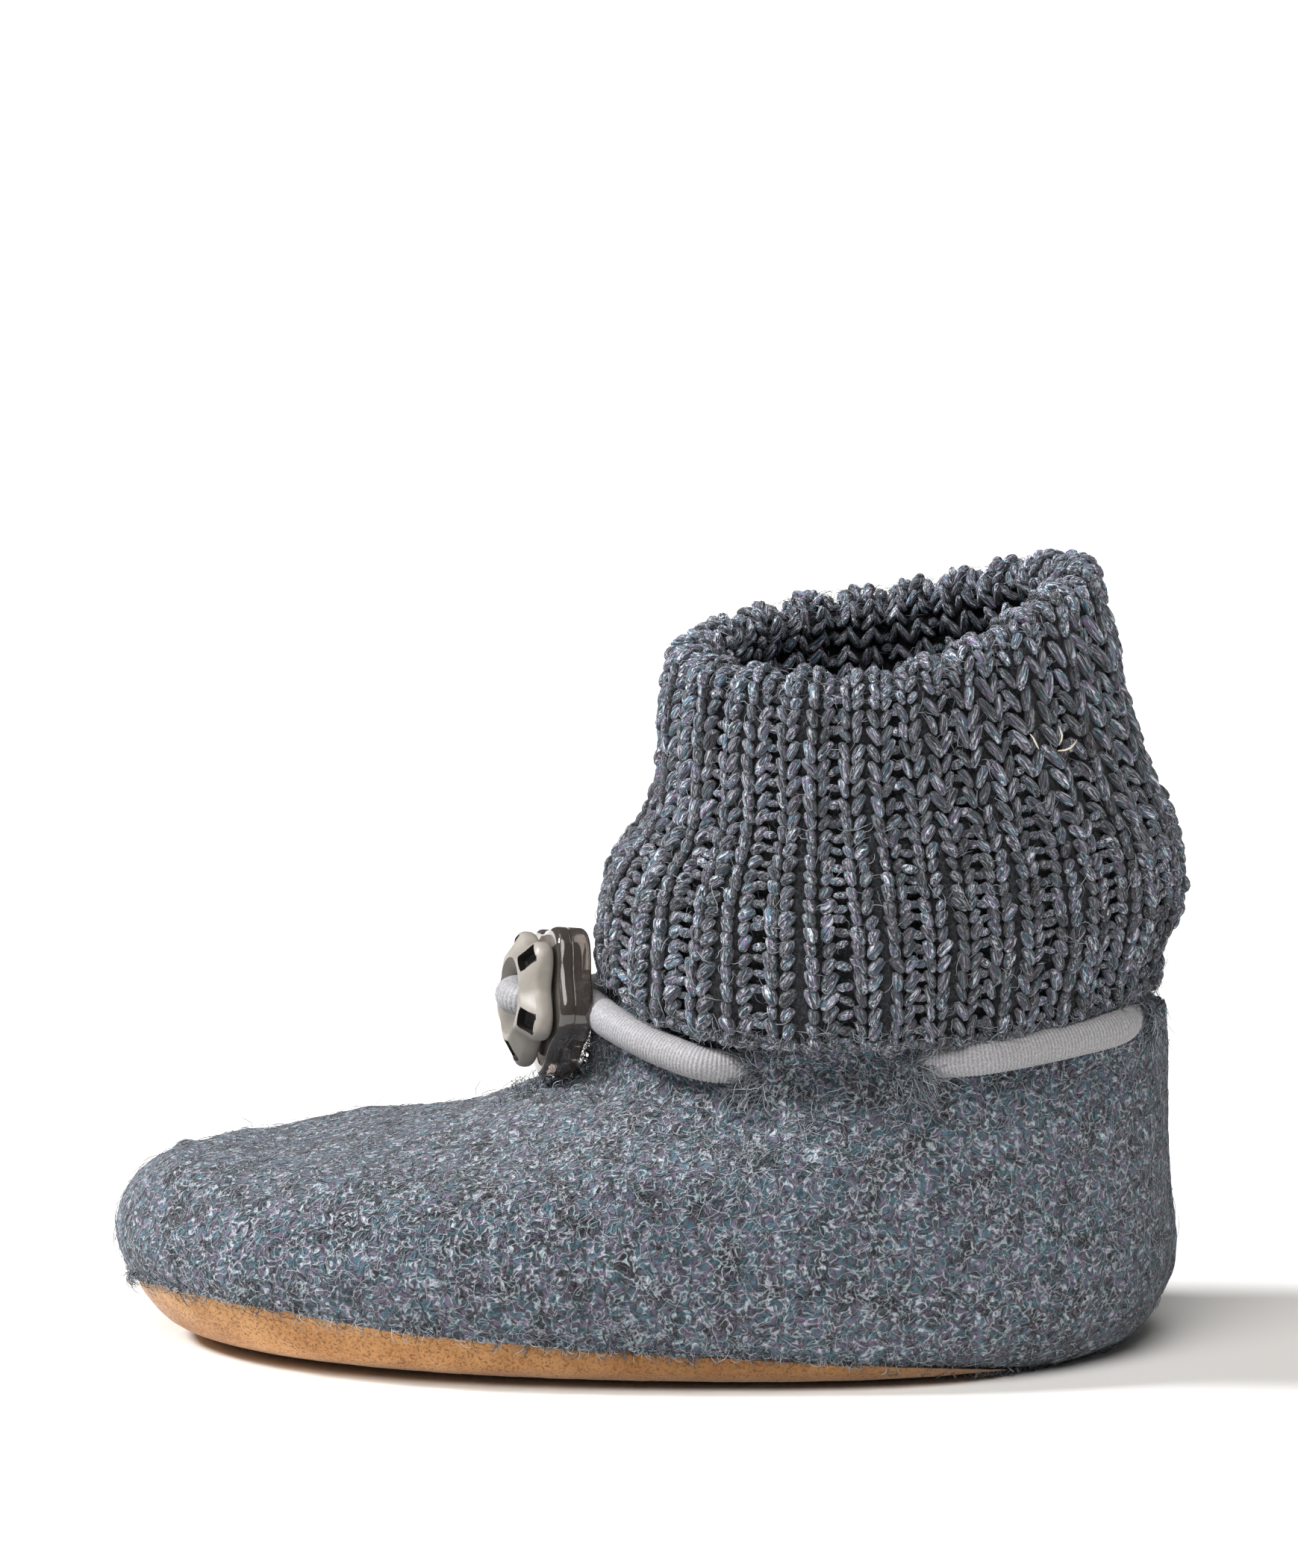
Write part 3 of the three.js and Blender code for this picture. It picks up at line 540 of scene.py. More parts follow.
    def length(self) -> float:
        """The cord's length round its whole loop, in millimetres."""
        points = self.line(0.5)
        return float(np.linalg.norm(points - np.roll(points, 1, axis=0), axis=1).sum())


def rolled_sheet(around: int, along: int, place: Place, capped: bool = False) -> bmesh.types.BMesh:
    """A grid rolled up into a closed shape.

    Args:
        around: how many faces it has round its girth.
        along: how many faces it has the other way.
        place: gives a point in metres for each share round and share along.
        capped: whether its two ends are closed by flat faces.

    Returns:
        The new mesh, its faces pointing out.
    """
    sheet = bmesh.new()
    bmesh.ops.create_grid(sheet, x_segments=around, y_segments=along, size=0.5)
    flat = np.array([vertex.co[:] for vertex in sheet.verts]) + 0.5
    for vertex, spot in zip(sheet.verts, place(flat[:, 0], flat[:, 1])):
        vertex.co = spot
    bmesh.ops.remove_doubles(sheet, verts=sheet.verts, dist=1e-7)
    if capped:
        edges = [edge for edge in sheet.edges if edge.is_boundary]
        bmesh.ops.holes_fill(sheet, edges=edges, sides=0)
    bmesh.ops.recalc_face_normals(sheet, faces=sheet.faces)
    return sheet


def tube(points: np.ndarray, radius: np.ndarray, sides: int, closed: bool) -> bmesh.types.BMesh:
    """A round tube along a line that lies mostly level.

    Args:
        points: the line, in millimetres.
        radius: the tube's radius at each point, in millimetres.
        sides: how many faces it has round.
        closed: whether the line is a closed loop.

    Returns:
        The new mesh, in metres.
    """
    if closed:
        points = np.concatenate([points, points[:1]])
        radius = np.concatenate([radius, radius[:1]])
        tangent = np.gradient(np.concatenate([points[-2:-1], points, points[1:2]]), axis=0)[1:-1]
    else:
        tangent = np.gradient(points, axis=0)
    tangent = unit(tangent)
    side = unit(np.cross(tangent, [0.0, 0.0, 1.0]))
    above = np.cross(side, tangent)
    last = len(points) - 1

    def place(share: np.ndarray, along: np.ndarray) -> np.ndarray:
        """The sheet's points.

        Args:
            share: shares of its girth.
            along: shares of the way from its first row to its last.

        Returns:
            The points, in metres.
        """
        index = np.round(along * last).astype(int)
        turn = share * TURN
        out = side[index] * np.cos(turn)[:, None] + above[index] * np.sin(turn)[:, None]
        return (points[index] + out * radius[index][:, None]) * MM

    return rolled_sheet(sides, last, place, capped=not closed)


def linked(name: str, data: bpy.types.ID) -> bpy.types.Object:
    """A new object of some data, linked to the scene."""
    made = bpy.data.objects.new(name, data)
    bpy.context.scene.collection.objects.link(made)
    return made


def triangle_piece(
    name: str, points: np.ndarray, corners: np.ndarray, values: dict[str, np.ndarray]
) -> bpy.types.Object:
    """A smooth object of many small closed shapes made of triangles.

    Args:
        name: the piece's name.
        points: its points, in millimetres.
        corners: the numbers of each triangle's three points.
        values: a number or a vector for each point, by the attribute that keeps it.

    Returns:
        The new object.
    """
    mesh = bpy.data.meshes.new(name)
    mesh.vertices.add(len(points))
    mesh.vertices.foreach_set("co", (points * MM).ravel())
    mesh.loops.add(corners.size)
    mesh.loops.foreach_set("vertex_index", corners.ravel())
    mesh.polygons.add(len(corners))
    mesh.polygons.foreach_set("loop_start", np.arange(len(corners)) * 3)
    mesh.update(calc_edges=True)
    mesh.shade_smooth()
    for attribute, numbers in values.items():
        kind, key = ("FLOAT_VECTOR", "vector") if numbers.ndim == 2 else ("FLOAT", "value")
        mesh.attributes.new(attribute, kind, "POINT").data.foreach_set(key, numbers.ravel())
    return linked(name, mesh)


def new_piece(name: str, shape: bmesh.types.BMesh, sharp: float = 180.0) -> bpy.types.Object:
    """Turns a bmesh into a smooth object at the origin.

    Args:
        name: the piece's name.
        shape: its mesh, which is freed.
        sharp: the angle in degrees above which an edge stays sharp.

    Returns:
        The new object, linked to the scene.
    """
    mesh = bpy.data.meshes.new(name)
    shape.to_mesh(mesh)
    shape.free()
    mesh.shade_smooth()
    if sharp < 180:
        mesh.set_sharp_from_angle(angle=math.radians(sharp))
    return linked(name, mesh)


def cut_with(piece: bpy.types.Object, cutters: Sequence[bmesh.types.BMesh], sharp: float) -> None:
    """Cuts closed shapes out of a piece and keeps only the result.

    Args:
        piece: the piece that is cut.
        cutters: what is cut out of it, each freed.
        sharp: the angle in degrees above which an edge stays sharp.
    """
    tools = [new_piece(f"{piece.name}_cutter_{index}", shape) for index, shape in enumerate(cutters)]
    for tool in tools:
        cut = piece.modifiers.new(tool.name, "BOOLEAN")
        cut.operation = "DIFFERENCE"
        cut.solver = "MANIFOLD"
        cut.object = tool
    bpy.context.view_layer.update()
    depsgraph = bpy.context.evaluated_depsgraph_get()
    mesh = bpy.data.meshes.new_from_object(piece.evaluated_get(depsgraph))
    mesh.materials.clear()
    for material in piece.data.materials:
        mesh.materials.append(material)
    piece.modifiers.clear()
    piece.data = mesh
    mesh.name = piece.name
    mesh.shade_smooth()
    mesh.set_sharp_from_angle(angle=math.radians(sharp))
    for tool in tools:
        bpy.data.meshes.remove(tool.data)


@dataclass
class Copies:
    """Many placed copies of a few small closed shapes, joined in one mesh."""

    name: str
    templates: Sequence[bmesh.types.BMesh]

    def build(
        self, places: np.ndarray, kind: np.ndarray, tone: np.ndarray, seed: int
    ) -> bpy.types.Object:
        """Joins the copies.

        Args:
            places: a 4 by 4 matrix for each copy, in millimetres.
            kind: which template each copy is made from.
            tone: a shade from 0 to 1 for each copy, kept as the attribute "tone".
            seed: seeds the shift of each copy's pattern.

        Returns:
            The new object, with the attributes "tone", "strand" and "within" on its points.
        """
        random = np.random.default_rng(seed)
        shift = random.uniform(-50, 50, (len(places), 3))
        points, strand, within, tones, faces = [], [], [], [], []
        start = 0
        for index, shape in enumerate(self.templates):
            bmesh.ops.triangulate(shape, faces=shape.faces)
            shape.verts.index_update()
            local = np.array([vertex.co[:] for vertex in shape.verts])
            corners = np.array([[vertex.index for vertex in face.verts] for face in shape.faces])
            shape.free()
            # The operator lists its triangles in no fixed order, so they are sorted
            turned = (corners.argmin(axis=1)[:, None] + np.arange(3)) % 3
            corners = np.take_along_axis(corners, turned, axis=1)
            corners = corners[np.lexsort(corners.T)]
            chosen = np.flatnonzero(kind == index)
            frames = places[chosen]
            placed = np.einsum("nij,kj->nki", frames[:, :3, :3], local) + frames[:, None, :3, 3]
            points.append(placed.reshape(-1, 3))
            strand.append((local[None] + shift[chosen][:, None]).reshape(-1, 3))
            within.append(np.tile(local, (len(chosen), 1)))
            tones.append(np.repeat(tone[chosen], len(local)))
            offsets = start + np.arange(len(chosen)) * len(local)
            faces.append((corners[None] + offsets[:, None, None]).reshape(-1, 3))
            start += len(chosen) * len(local)
        return triangle_piece(self.name, np.concatenate(points), np.concatenate(faces), {
            "strand": np.concatenate(strand) * MM,
            "within": np.concatenate(within),
            "tone": np.concatenate(tones),
        })


def frames_from(
    origin: np.ndarray, across: np.ndarray, out: np.ndarray, up: np.ndarray
) -> np.ndarray:
    """Placing matrices from origins and the three directions of x, y and z.

    Args:
        origin: where each copy lies, in millimetres.
        across: its x direction and size.
        out: its y direction and size.
        up: its z direction and size.

    Returns:
        A 4 by 4 matrix for each copy.
    """
    places = np.zeros((len(origin), 4, 4))
    places[:, :3, 0] = across
    places[:, :3, 1] = out
    places[:, :3, 2] = up
    places[:, :3, 3] = origin
    places[:, 3, 3] = 1
    return places


class Graph:
    """A shader's or group's node tree, with calls that add and join nodes."""

    def __init__(self, tree: bpy.types.NodeTree) -> None:
        """Starts on a tree."""
        self.tree = tree

    def add(self, kind: str, settings: dict | None = None, **inputs: object) -> bpy.types.Node:
        """Adds a node.

        Args:
            kind: the node's type, without its ShaderNode prefix.
            settings: values of the node's own properties.
            inputs: a value or an output socket for each named input. A name's underscores stand
                for spaces, and in0, in1 and so on stand for inputs by their place.

        Returns:
            The new node.
        """
        node = self.tree.nodes.new(f"ShaderNode{kind}")
        for key, value in (settings or {}).items():
            setattr(node, key, value)
        self.feed(node, **inputs)
        return node

    def feed(self, node: bpy.types.Node, **inputs: object) -> None:
        """Sets or links inputs of a node.

        Args:
            node: the node.
            inputs: a value or an output socket for each input, named as add takes them.
        """
        for key, value in inputs.items():
            place = int(key[2:]) if key[:2] == "in" and key[2:].isdigit() else key.replace("_", " ")
            socket = node.inputs[place]
            if isinstance(value, bpy.types.NodeSocket):
                self.tree.links.new(value, socket)
            else:
                socket.default_value = value

    def math(self, operation: str, first: object, second: object = 0.0) -> bpy.types.NodeSocket:
        """The result of a Math node on two values."""
        return self.add("Math", {"operation": operation}, in0=first, in1=second).outputs[0]

    def times(self, first: object, second: object) -> bpy.types.NodeSocket:
        """The product of two values."""
        return self.math("MULTIPLY", first, second)

    def plus(self, first: object, second: object) -> bpy.types.NodeSocket:
        """The sum of two values."""
        return self.math("ADD", first, second)

    def bump(self, strength: float, depth: float, height: object) -> bpy.types.NodeSocket:
        """The normal of a relief whose depth is in millimetres."""
        node = self.add("Bump", None, Strength=strength, Distance=depth * MM, Height=height)
        return node.outputs[0]

    def attribute(self, name: str, output: str = "Fac") -> bpy.types.NodeSocket:
        """One of a piece's own attributes."""
        return self.add("Attribute", {"attribute_name": name}).outputs[output]

    def mix(self, share: object, first: object, second: object) -> bpy.types.NodeSocket:
        """A mix of two colours."""
        node = self.add("Mix", {"data_type": "RGBA"}, in0=share, in6=first, in7=second)
        return node.outputs[2]

    def noise(self, place: object, scale: object, detail: float = 2.0) -> bpy.types.NodeSocket:
        """The value of a noise texture."""
        return self.add("TexNoise", None, Vector=place, Scale=scale, Detail=detail).outputs[0]

    def ramp(self, value: object, low: float, high: float) -> bpy.types.NodeSocket:
        """A value turned to 0 at low and 1 at high, smoothly."""
        settings = {"interpolation_type": "SMOOTHSTEP"}
        return self.add("MapRange", settings, in0=value, in1=low, in2=high).outputs[0]


def new_group(
    name: str, inputs: Sequence[tuple[str, str]], outputs: Sequence[tuple[str, str]]
) -> tuple[Graph, bpy.types.Node, bpy.types.Node]:
    """Starts a shader node group.

    Args:
        name: the group's name.
        inputs: each input's name and socket kind, such as "Float".
        outputs: each output's name and socket kind.

    Returns:
        The graph, its input node and its output node.
    """
    tree = bpy.data.node_groups.new(name, "ShaderNodeTree")
    for socket, kind in inputs:
        tree.interface.new_socket(socket, in_out="INPUT", socket_type=f"NodeSocket{kind}")
    for socket, kind in outputs:
        tree.interface.new_socket(socket, in_out="OUTPUT", socket_type=f"NodeSocket{kind}")
    return Graph(tree), tree.nodes.new("NodeGroupInput"), tree.nodes.new("NodeGroupOutput")


def melange_group() -> bpy.types.NodeTree:
    """Curly fibres of several shades: thin contour lines of warped noise, laid over each other.

    Returns:
        The group.
    """
    graph, given, made = new_group(
        "Melange",
        [("Vector", "Vector"), ("Grain", "Float"), ("Base", "Color"), ("Light", "Color"),
         ("Dark", "Color"), ("Cool", "Color"), ("Warm", "Color")],
        [("Color", "Color"), ("Height", "Float")],
    )
    place, grain = given.outputs["Vector"], given.outputs["Grain"]
    warp_scale = graph.times(grain, 0.6)
    warp = graph.add("TexNoise", None, Vector=place, Scale=warp_scale, Detail=1.0).outputs[1]
    centred = graph.add("VectorMath", {"operation": "SUBTRACT"}, in0=warp, in1=(0.5, 0.5, 0.5))
    reach = graph.math("DIVIDE", 2.0, grain)
    moved = graph.add("VectorMath", {"operation": "SCALE"}, in0=centred.outputs[0], Scale=reach)
    bent = graph.add("VectorMath", {"operation": "ADD"}, in0=place, in1=moved.outputs[0]).outputs[0]

    def lines(offset: float, scale: float, sharpness: float) -> bpy.types.NodeSocket:
        """Thin curved lines from one noise.

        Args:
            offset: how far the noise is shifted from the others.
            scale: its size, as a share of the grain.
            sharpness: how thin the lines are.

        Returns:
            1 along the lines and 0 beside them.
        """
        shift = (offset, offset * 0.7, -offset)
        spot = graph.add("VectorMath", {"operation": "ADD"}, in0=bent, in1=shift).outputs[0]
        value = graph.noise(spot, graph.times(grain, scale), 1.5)
        away = graph.math("ABSOLUTE", graph.math("SUBTRACT", value, 0.5))
        return graph.ramp(graph.times(away, sharpness), 1.0, 0.0)

    light = lines(0.011, 1.0, 15.0)
    light_fine = lines(0.027, 1.7, 13.0)
    dark = lines(0.043, 0.9, 10.0)
    # Painted shade: the pits are sunk in the relief and painted in the darkest shade as well.
    pits = graph.ramp(graph.noise(bent, graph.times(grain, 1.25), 1.0), 0.42, 0.3)
    clumps = graph.noise(place, graph.times(grain, 0.28), 2.0)
    hue = graph.ramp(graph.noise(place, graph.times(grain, 1.1), 1.0), 0.42, 0.58)
    tint = graph.mix(hue, given.outputs["Cool"], given.outputs["Warm"])
    pale = graph.mix(0.3, given.outputs["Light"], tint)
    ground = graph.mix(0.55, given.outputs["Base"], tint)
    colour = graph.mix(graph.ramp(clumps, 0.3, 0.62), given.outputs["Dark"], ground)
    deep = given.outputs["Dark"]
    layers = ((dark, 0.7, deep), (light_fine, 0.55, tint), (light, 0.9, pale), (pits, 0.85, deep))
    for mask, share, shade in layers:
        colour = graph.mix(graph.times(mask, share), colour, shade)
    raised = graph.plus(light, graph.times(light_fine, 0.6))
    sunk = graph.plus(graph.times(dark, 0.6), pits)
    graph.feed(made, Color=colour, Height=graph.math("SUBTRACT", raised, sunk))
    return graph.tree


def new_material(name: str) -> tuple[bpy.types.Material, Graph, bpy.types.Node]:
    """A material with a bare Principled shader.

    Args:
        name: the material's name.

    Returns:
        The material, its graph and its shader node.
    """
    material = bpy.data.materials.new(name)
    material.use_nodes = True
    return material, Graph(material.node_tree), material.node_tree.nodes["Principled BSDF"]


def linear(red: float, green: float, blue: float) -> Shade:
    """A linear colour from eight-bit display values."""
    shares = [value / 255 for value in (red, green, blue)]
    return (*[s / 12.92 if s <= 0.04045 else ((s + 0.055) / 1.055) ** 2.4 for s in shares], 1.0)


def darker(colour: Shade, share: float) -> Shade:
    """A colour with only a share of its light."""
    return (*[share * value for value in colour[:3]], 1.0)


@dataclass(frozen=True)
class WoolFinish:
    """Matt melange wool: felt where it reads Object coordinates, or yarn by its own strand."""

    name: str
    grain: float
    base: Shade
    light: Shade
    dark: Shade
    cool: Shade
    warm: Shade
    strand: bool = False
    stretch: tuple[float, float, float] = (1.0, 1.0, 1.0)
    bump: float = 0.5
    depth: float = 0.12

    def make(self, melange: bpy.types.NodeTree) -> bpy.types.Material:
        """Builds the material.

        Args:
            melange: the shared fibre pattern.

        Returns:
            The material.
        """
        material, graph, shader = new_material(self.name)
        if self.strand:
            source = graph.attribute("strand", "Vector")
        else:
            source = graph.add("TexCoord").outputs["Object"]
        place = graph.add("Mapping", None, Vector=source, Scale=self.stretch).outputs[0]
        fibres = graph.add(
            "Group", {"node_tree": melange}, Vector=place, Grain=self.grain, Base=self.base,
            Light=self.light, Dark=self.dark, Cool=self.cool, Warm=self.warm,
        )
        colour = fibres.outputs["Color"]
        height = fibres.outputs["Height"]
        if self.strand:
            colour, height = self.twist(graph, colour, height)
        graph.feed(
            shader, Base_Color=colour, Normal=graph.bump(self.bump, self.depth, height),
            Roughness=0.95, Specular_IOR_Level=0.2, Sheen_Weight=0.25, Sheen_Roughness=0.6,
        )
        return material

    def twist(self, graph: Graph, colour: object, height: object) -> tuple[object, object]:
        """Twists a strand's plies, painting shade in their grooves and at its edges; each strand has
        its own tone.

        Args:
            graph: the material's graph.
            colour: the wool's colour.
            height: the wool's relief.

        Returns:
            The strand's colour and relief.
        """
        tone = graph.attribute("tone")
        axes = graph.add("SeparateXYZ", None, Vector=graph.attribute("within", "Vector")).outputs
        turn = graph.plus(graph.times(axes["Z"], 1.2), graph.times(axes["X"], 2.9))
        turn = graph.plus(turn, graph.times(tone, 6.0))
        # Painted shade: the yarn darkens in the grooves between its plies.
        ply = graph.ramp(graph.math("ABSOLUTE", graph.math("SINE", turn)), 0.0, 0.55)
        # Painted shade: each leg darkens towards its edges, as the shade in the gaps between the legs.
        edge = graph.ramp(graph.math("ABSOLUTE", axes["X"]), 1.05, 0.5)
        # The tone brightens the yarn, and carries painted light on the cuff's rim and inside.
        dim = graph.plus(graph.times(tone, 1.05), 0.45)
        dim = graph.times(dim, graph.plus(graph.times(ply, 0.72), 0.28))
        dim = graph.times(dim, graph.plus(graph.times(edge, 0.6), 0.4))
        grey = graph.add("CombineColor", None, in0=dim, in1=dim, in2=dim).outputs[0]
        settings = {"data_type": "RGBA", "blend_type": "MULTIPLY"}
        dimmed = graph.add("Mix", settings, in0=1.0, in6=colour, in7=grey).outputs[2]
        return dimmed, graph.plus(height, graph.times(ply, 1.6))


@dataclass(frozen=True)
class HairFinish:
    """Loose wool fibres, each with its own shade."""

    name: str
    dark: Shade
    light: Shade

    def make(self) -> bpy.types.Material:
        """Builds the material.

        Returns:
            The material.
        """
        material, graph, shader = new_material(self.name)
        colour = graph.mix(graph.attribute("tone"), self.dark, self.light)
        graph.feed(shader, Base_Color=colour, Roughness=0.7, Specular_IOR_Level=0.3)
        return material


@dataclass(frozen=True)
class SuedeFinish:
    """Tan suede with a short mottled nap, and painted shade that darkens it from the toe towards the
    middle.
    """

    name: str = "suede_nap"
    pale: Shade = linear(200, 152, 102)
    middle: Shade = linear(170, 121, 76)
    deep: Shade = linear(98, 65, 38)
    nap_size: float = 0.5
    speck_size: float = 0.3

    def make(self) -> bpy.types.Material:
        """Builds the material.

        Returns:
            The material.
        """
        material, graph, shader = new_material(self.name)
        place = graph.add("TexCoord").outputs["Object"]
        cloud = graph.noise(place, 1 / (7 * MM), 3.0)
        nap = graph.noise(place, 1 / (self.nap_size * MM), 3.0)
        speck = graph.noise(place, 1 / (self.speck_size * MM), 1.0)
        colour = graph.mix(graph.ramp(cloud, 0.3, 0.7), self.middle, self.pale)
        station = graph.add("SeparateXYZ", None, Vector=place).outputs["X"]
        # The last layer is painted shade: the suede darkens from the toe towards the middle of the
        # foot, where the light falls off.
        layers = (
            (nap, 0.5, 0.72, 0.55, self.deep), (nap, 0.48, 0.28, 0.5, self.pale),
            (speck, 0.52, 0.72, 0.75, self.deep), (speck, 0.46, 0.3, 0.4, self.pale),
            (station, 36 * MM, -12 * MM, 0.62, self.deep),
        )
        for value, low, high, share, shade in layers:
            colour = graph.mix(graph.times(graph.ramp(value, low, high), share), colour, shade)
        graph.feed(
            shader, Base_Color=colour, Normal=graph.bump(0.8, 0.14, graph.plus(nap, speck)),
            Roughness=0.92, Specular_IOR_Level=0.2, Sheen_Weight=0.3, Sheen_Roughness=0.45,
        )
        return material


@dataclass(frozen=True)
class CordFinish:
    """Pale grey elastic cord, with painted shade in the grooves between its ribs."""

    name: str = "elastic_cord"
    pale: Shade = linear(164, 163, 167)
    shade: Shade = linear(118, 118, 122)

    def make(self) -> bpy.types.Material:
        """Builds the material.

        Returns:
            The material.
        """
        material, graph, shader = new_material(self.name)
        place = graph.add("TexCoord").outputs["Object"]
        thread = graph.noise(place, 1 / (0.22 * MM), 2.0)
        # Painted shade: the cord darkens between its ribs, where the grooves lie.
        ribs = graph.times(graph.attribute("rib"), 0.6)
        colour = graph.mix(graph.plus(ribs, graph.ramp(thread, 0.4, 0.8)), self.shade, self.pale)
        graph.feed(
            shader, Base_Color=colour, Normal=graph.bump(0.4, 0.05, thread), Roughness=0.6,
            Sheen_Weight=0.2,
        )
        return material


@dataclass(frozen=True)
class SmokyFinish:
    """Smoky translucent plastic, glossy, with faint flow marks."""

    name: str = "smoky_plastic"
    tint: Shade = (0.3, 0.25, 0.225, 1.0)

    def make(self) -> bpy.types.Material:
        """Builds the material.

        Returns:
            The material.
        """
        material, graph, shader = new_material(self.name)
        place = graph.add("TexCoord").outputs["Object"]
        flow = graph.noise(place, 1 / (2.6 * MM), 3.0)
        graph.feed(
            shader, Base_Color=graph.mix(flow, self.tint, darker(self.tint, 0.7)),
            Normal=graph.bump(0.25, 0.25, flow), Roughness=0.08, IOR=1.49,
            Transmission_Weight=0.85, Coat_Weight=1.0, Coat_Roughness=0.04,
        )
        return material


@dataclass(frozen=True)
class ShellFinish:
    """Opaque moulded plastic with a satin face and fine handling marks."""

    name: str
    colour: Shade
    roughness: float = 0.42

    def make(self) -> bpy.types.Material:
        """Builds the material.

        Returns:
            The material.
        """
        material, graph, shader = new_material(self.name)
        place = graph.add("TexCoord").outputs["Object"]
        cloud = graph.noise(place, 1 / (3 * MM), 3.0)
        fine = graph.noise(place, 1 / (0.25 * MM), 2.0)
        colour = graph.mix(graph.ramp(cloud, 0.35, 0.7), darker(self.colour, 0.82), self.colour)
        gloss = graph.plus(graph.times(cloud, 0.14), self.roughness - 0.07)
        normal = graph.bump(0.12, 0.04, fine)
        graph.feed(shader, Base_Color=colour, Roughness=gloss, Normal=normal)
        return material


FELT = WoolFinish(
    "boiled_wool", 1 / (1.0 * MM), linear(70, 79, 96), linear(208, 218, 228), linear(6, 8, 13),
    linear(64, 114, 130), linear(118, 102, 134), bump=1.0, depth=0.3,
)
YARN = WoolFinish(
    "knit_yarn", 1 / (0.8 * MM), linear(79, 87, 103), linear(238, 244, 252), linear(7, 9, 14),
    linear(60, 120, 142), linear(132, 106, 148), strand=True, stretch=(1.4, 1.4, 0.5),
    bump=0.9, depth=0.2,
)
# Painted shade: the ground under the stitches is wool painted nearly black, as the shade in the gaps
# between them.
KNIT_SHADE_GROUND = WoolFinish(
    "knit_shade_ground", 1 / (0.7 * MM), linear(26, 29, 34), linear(62, 66, 74), linear(5, 6, 8),
    linear(34, 42, 50), linear(44, 40, 46),
)
LINING = WoolFinish(
    "fleece_lining", 1 / (1.0 * MM), linear(104, 108, 116), linear(160, 164, 170),
    linear(50, 54, 60), linear(108, 120, 132), linear(124, 120, 120),
)
HAIR = HairFinish("loose_wool", linear(30, 35, 44), linear(176, 184, 192))
STRAW = HairFinish("straw", linear(236, 226, 204), linear(250, 244, 228))


@dataclass(frozen=True)
class Finishes:
    """Every material of the slipper."""

    felt: bpy.types.Material
    yarn: bpy.types.Material
    ground: bpy.types.Material
    lining: bpy.types.Material
    hair: bpy.types.Material
    straw: bpy.types.Material
    suede: bpy.types.Material
    cord: bpy.types.Material
    smoky: bpy.types.Material
    shell: bpy.types.Material
    dark: bpy.types.Material


def make_finishes() -> Finishes:
    """Builds every material of the slipper, once.

    Returns:
        The materials.
    """
    melange = melange_group()
    return Finishes(
        felt=FELT.make(melange),
        yarn=YARN.make(melange),
        ground=KNIT_SHADE_GROUND.make(melange),
        lining=LINING.make(melange),
        hair=HAIR.make(),
        straw=STRAW.make(),
        suede=SuedeFinish().make(),
        cord=CordFinish().make(),
        smoky=SmokyFinish().make(),
        shell=ShellFinish("lock_shell", linear(150, 145, 138)).make(),
        # The barrel's own dark plastic, laid also on the cap's pits as painted shade.
        dark=ShellFinish("lock_barrel", linear(26, 24, 23), 0.6).make(),
    )


@dataclass(kw_only=True)
class Assembly:
    """A sub-assembly of the slipper: its pieces, by name."""

    pieces: dict[str, bpy.types.Object] = field(default_factory=dict)

    def keep(self, *pieces: bpy.types.Object) -> None:
        """Notes pieces that were built."""
        for piece in pieces:
            self.pieces[piece.name] = piece

    def finish(self, finishes: dict[str, Sequence[bpy.types.Material]], slots: dict[str, str]) -> None:
        """Puts each piece's materials on it and joins it to the body.

        Args:
            finishes: the materials of each piece, by its name.
            slots: the material slot of each piece, by its name; not used.
        """
        for name, piece in self.pieces.items():
            if piece.data.materials:
                for index, material in enumerate(finishes[name]):
                    piece.data.materials[index] = material
            else:
                for material in finishes[name]:
                    piece.data.materials.append(material)
            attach(piece, BODY)


@dataclass(frozen=True)
class Crease:
    """A soft trough pressed in the wool, or a ridge where its depth is below 0.

    The points are X and Z in the slipper's own millimetres, seen from the side.
    """

    side: Side
    points: tuple[tuple[float, float], ...]
    depth: float
    width: float

    def press(self, spots: np.ndarray) -> np.ndarray:
        """How deep the crease presses each spot in, in millimetres.

        Args:
            spots: points of the wool, in the slipper's own millimetres.

        Returns:
            One depth for each spot.
        """
        away = np.full(len(spots), 1e6)
        seen = spots[:, (0, 2)]
        for start, end in zip(self.points, self.points[1:]):
            a, b = np.array(start), np.array(end)
            along = np.clip((seen - a) @ (b - a) / ((b - a) @ (b - a)), 0, 1)
            away = np.minimum(away, np.linalg.norm(seen - a - along[:, None] * (b - a), axis=1))
        facing = 1.0 if self.side is Side.BOTH else smooth(spots[:, 1] * self.side.value, -4, 4)
        return self.depth * facing * bell(away, self.width)


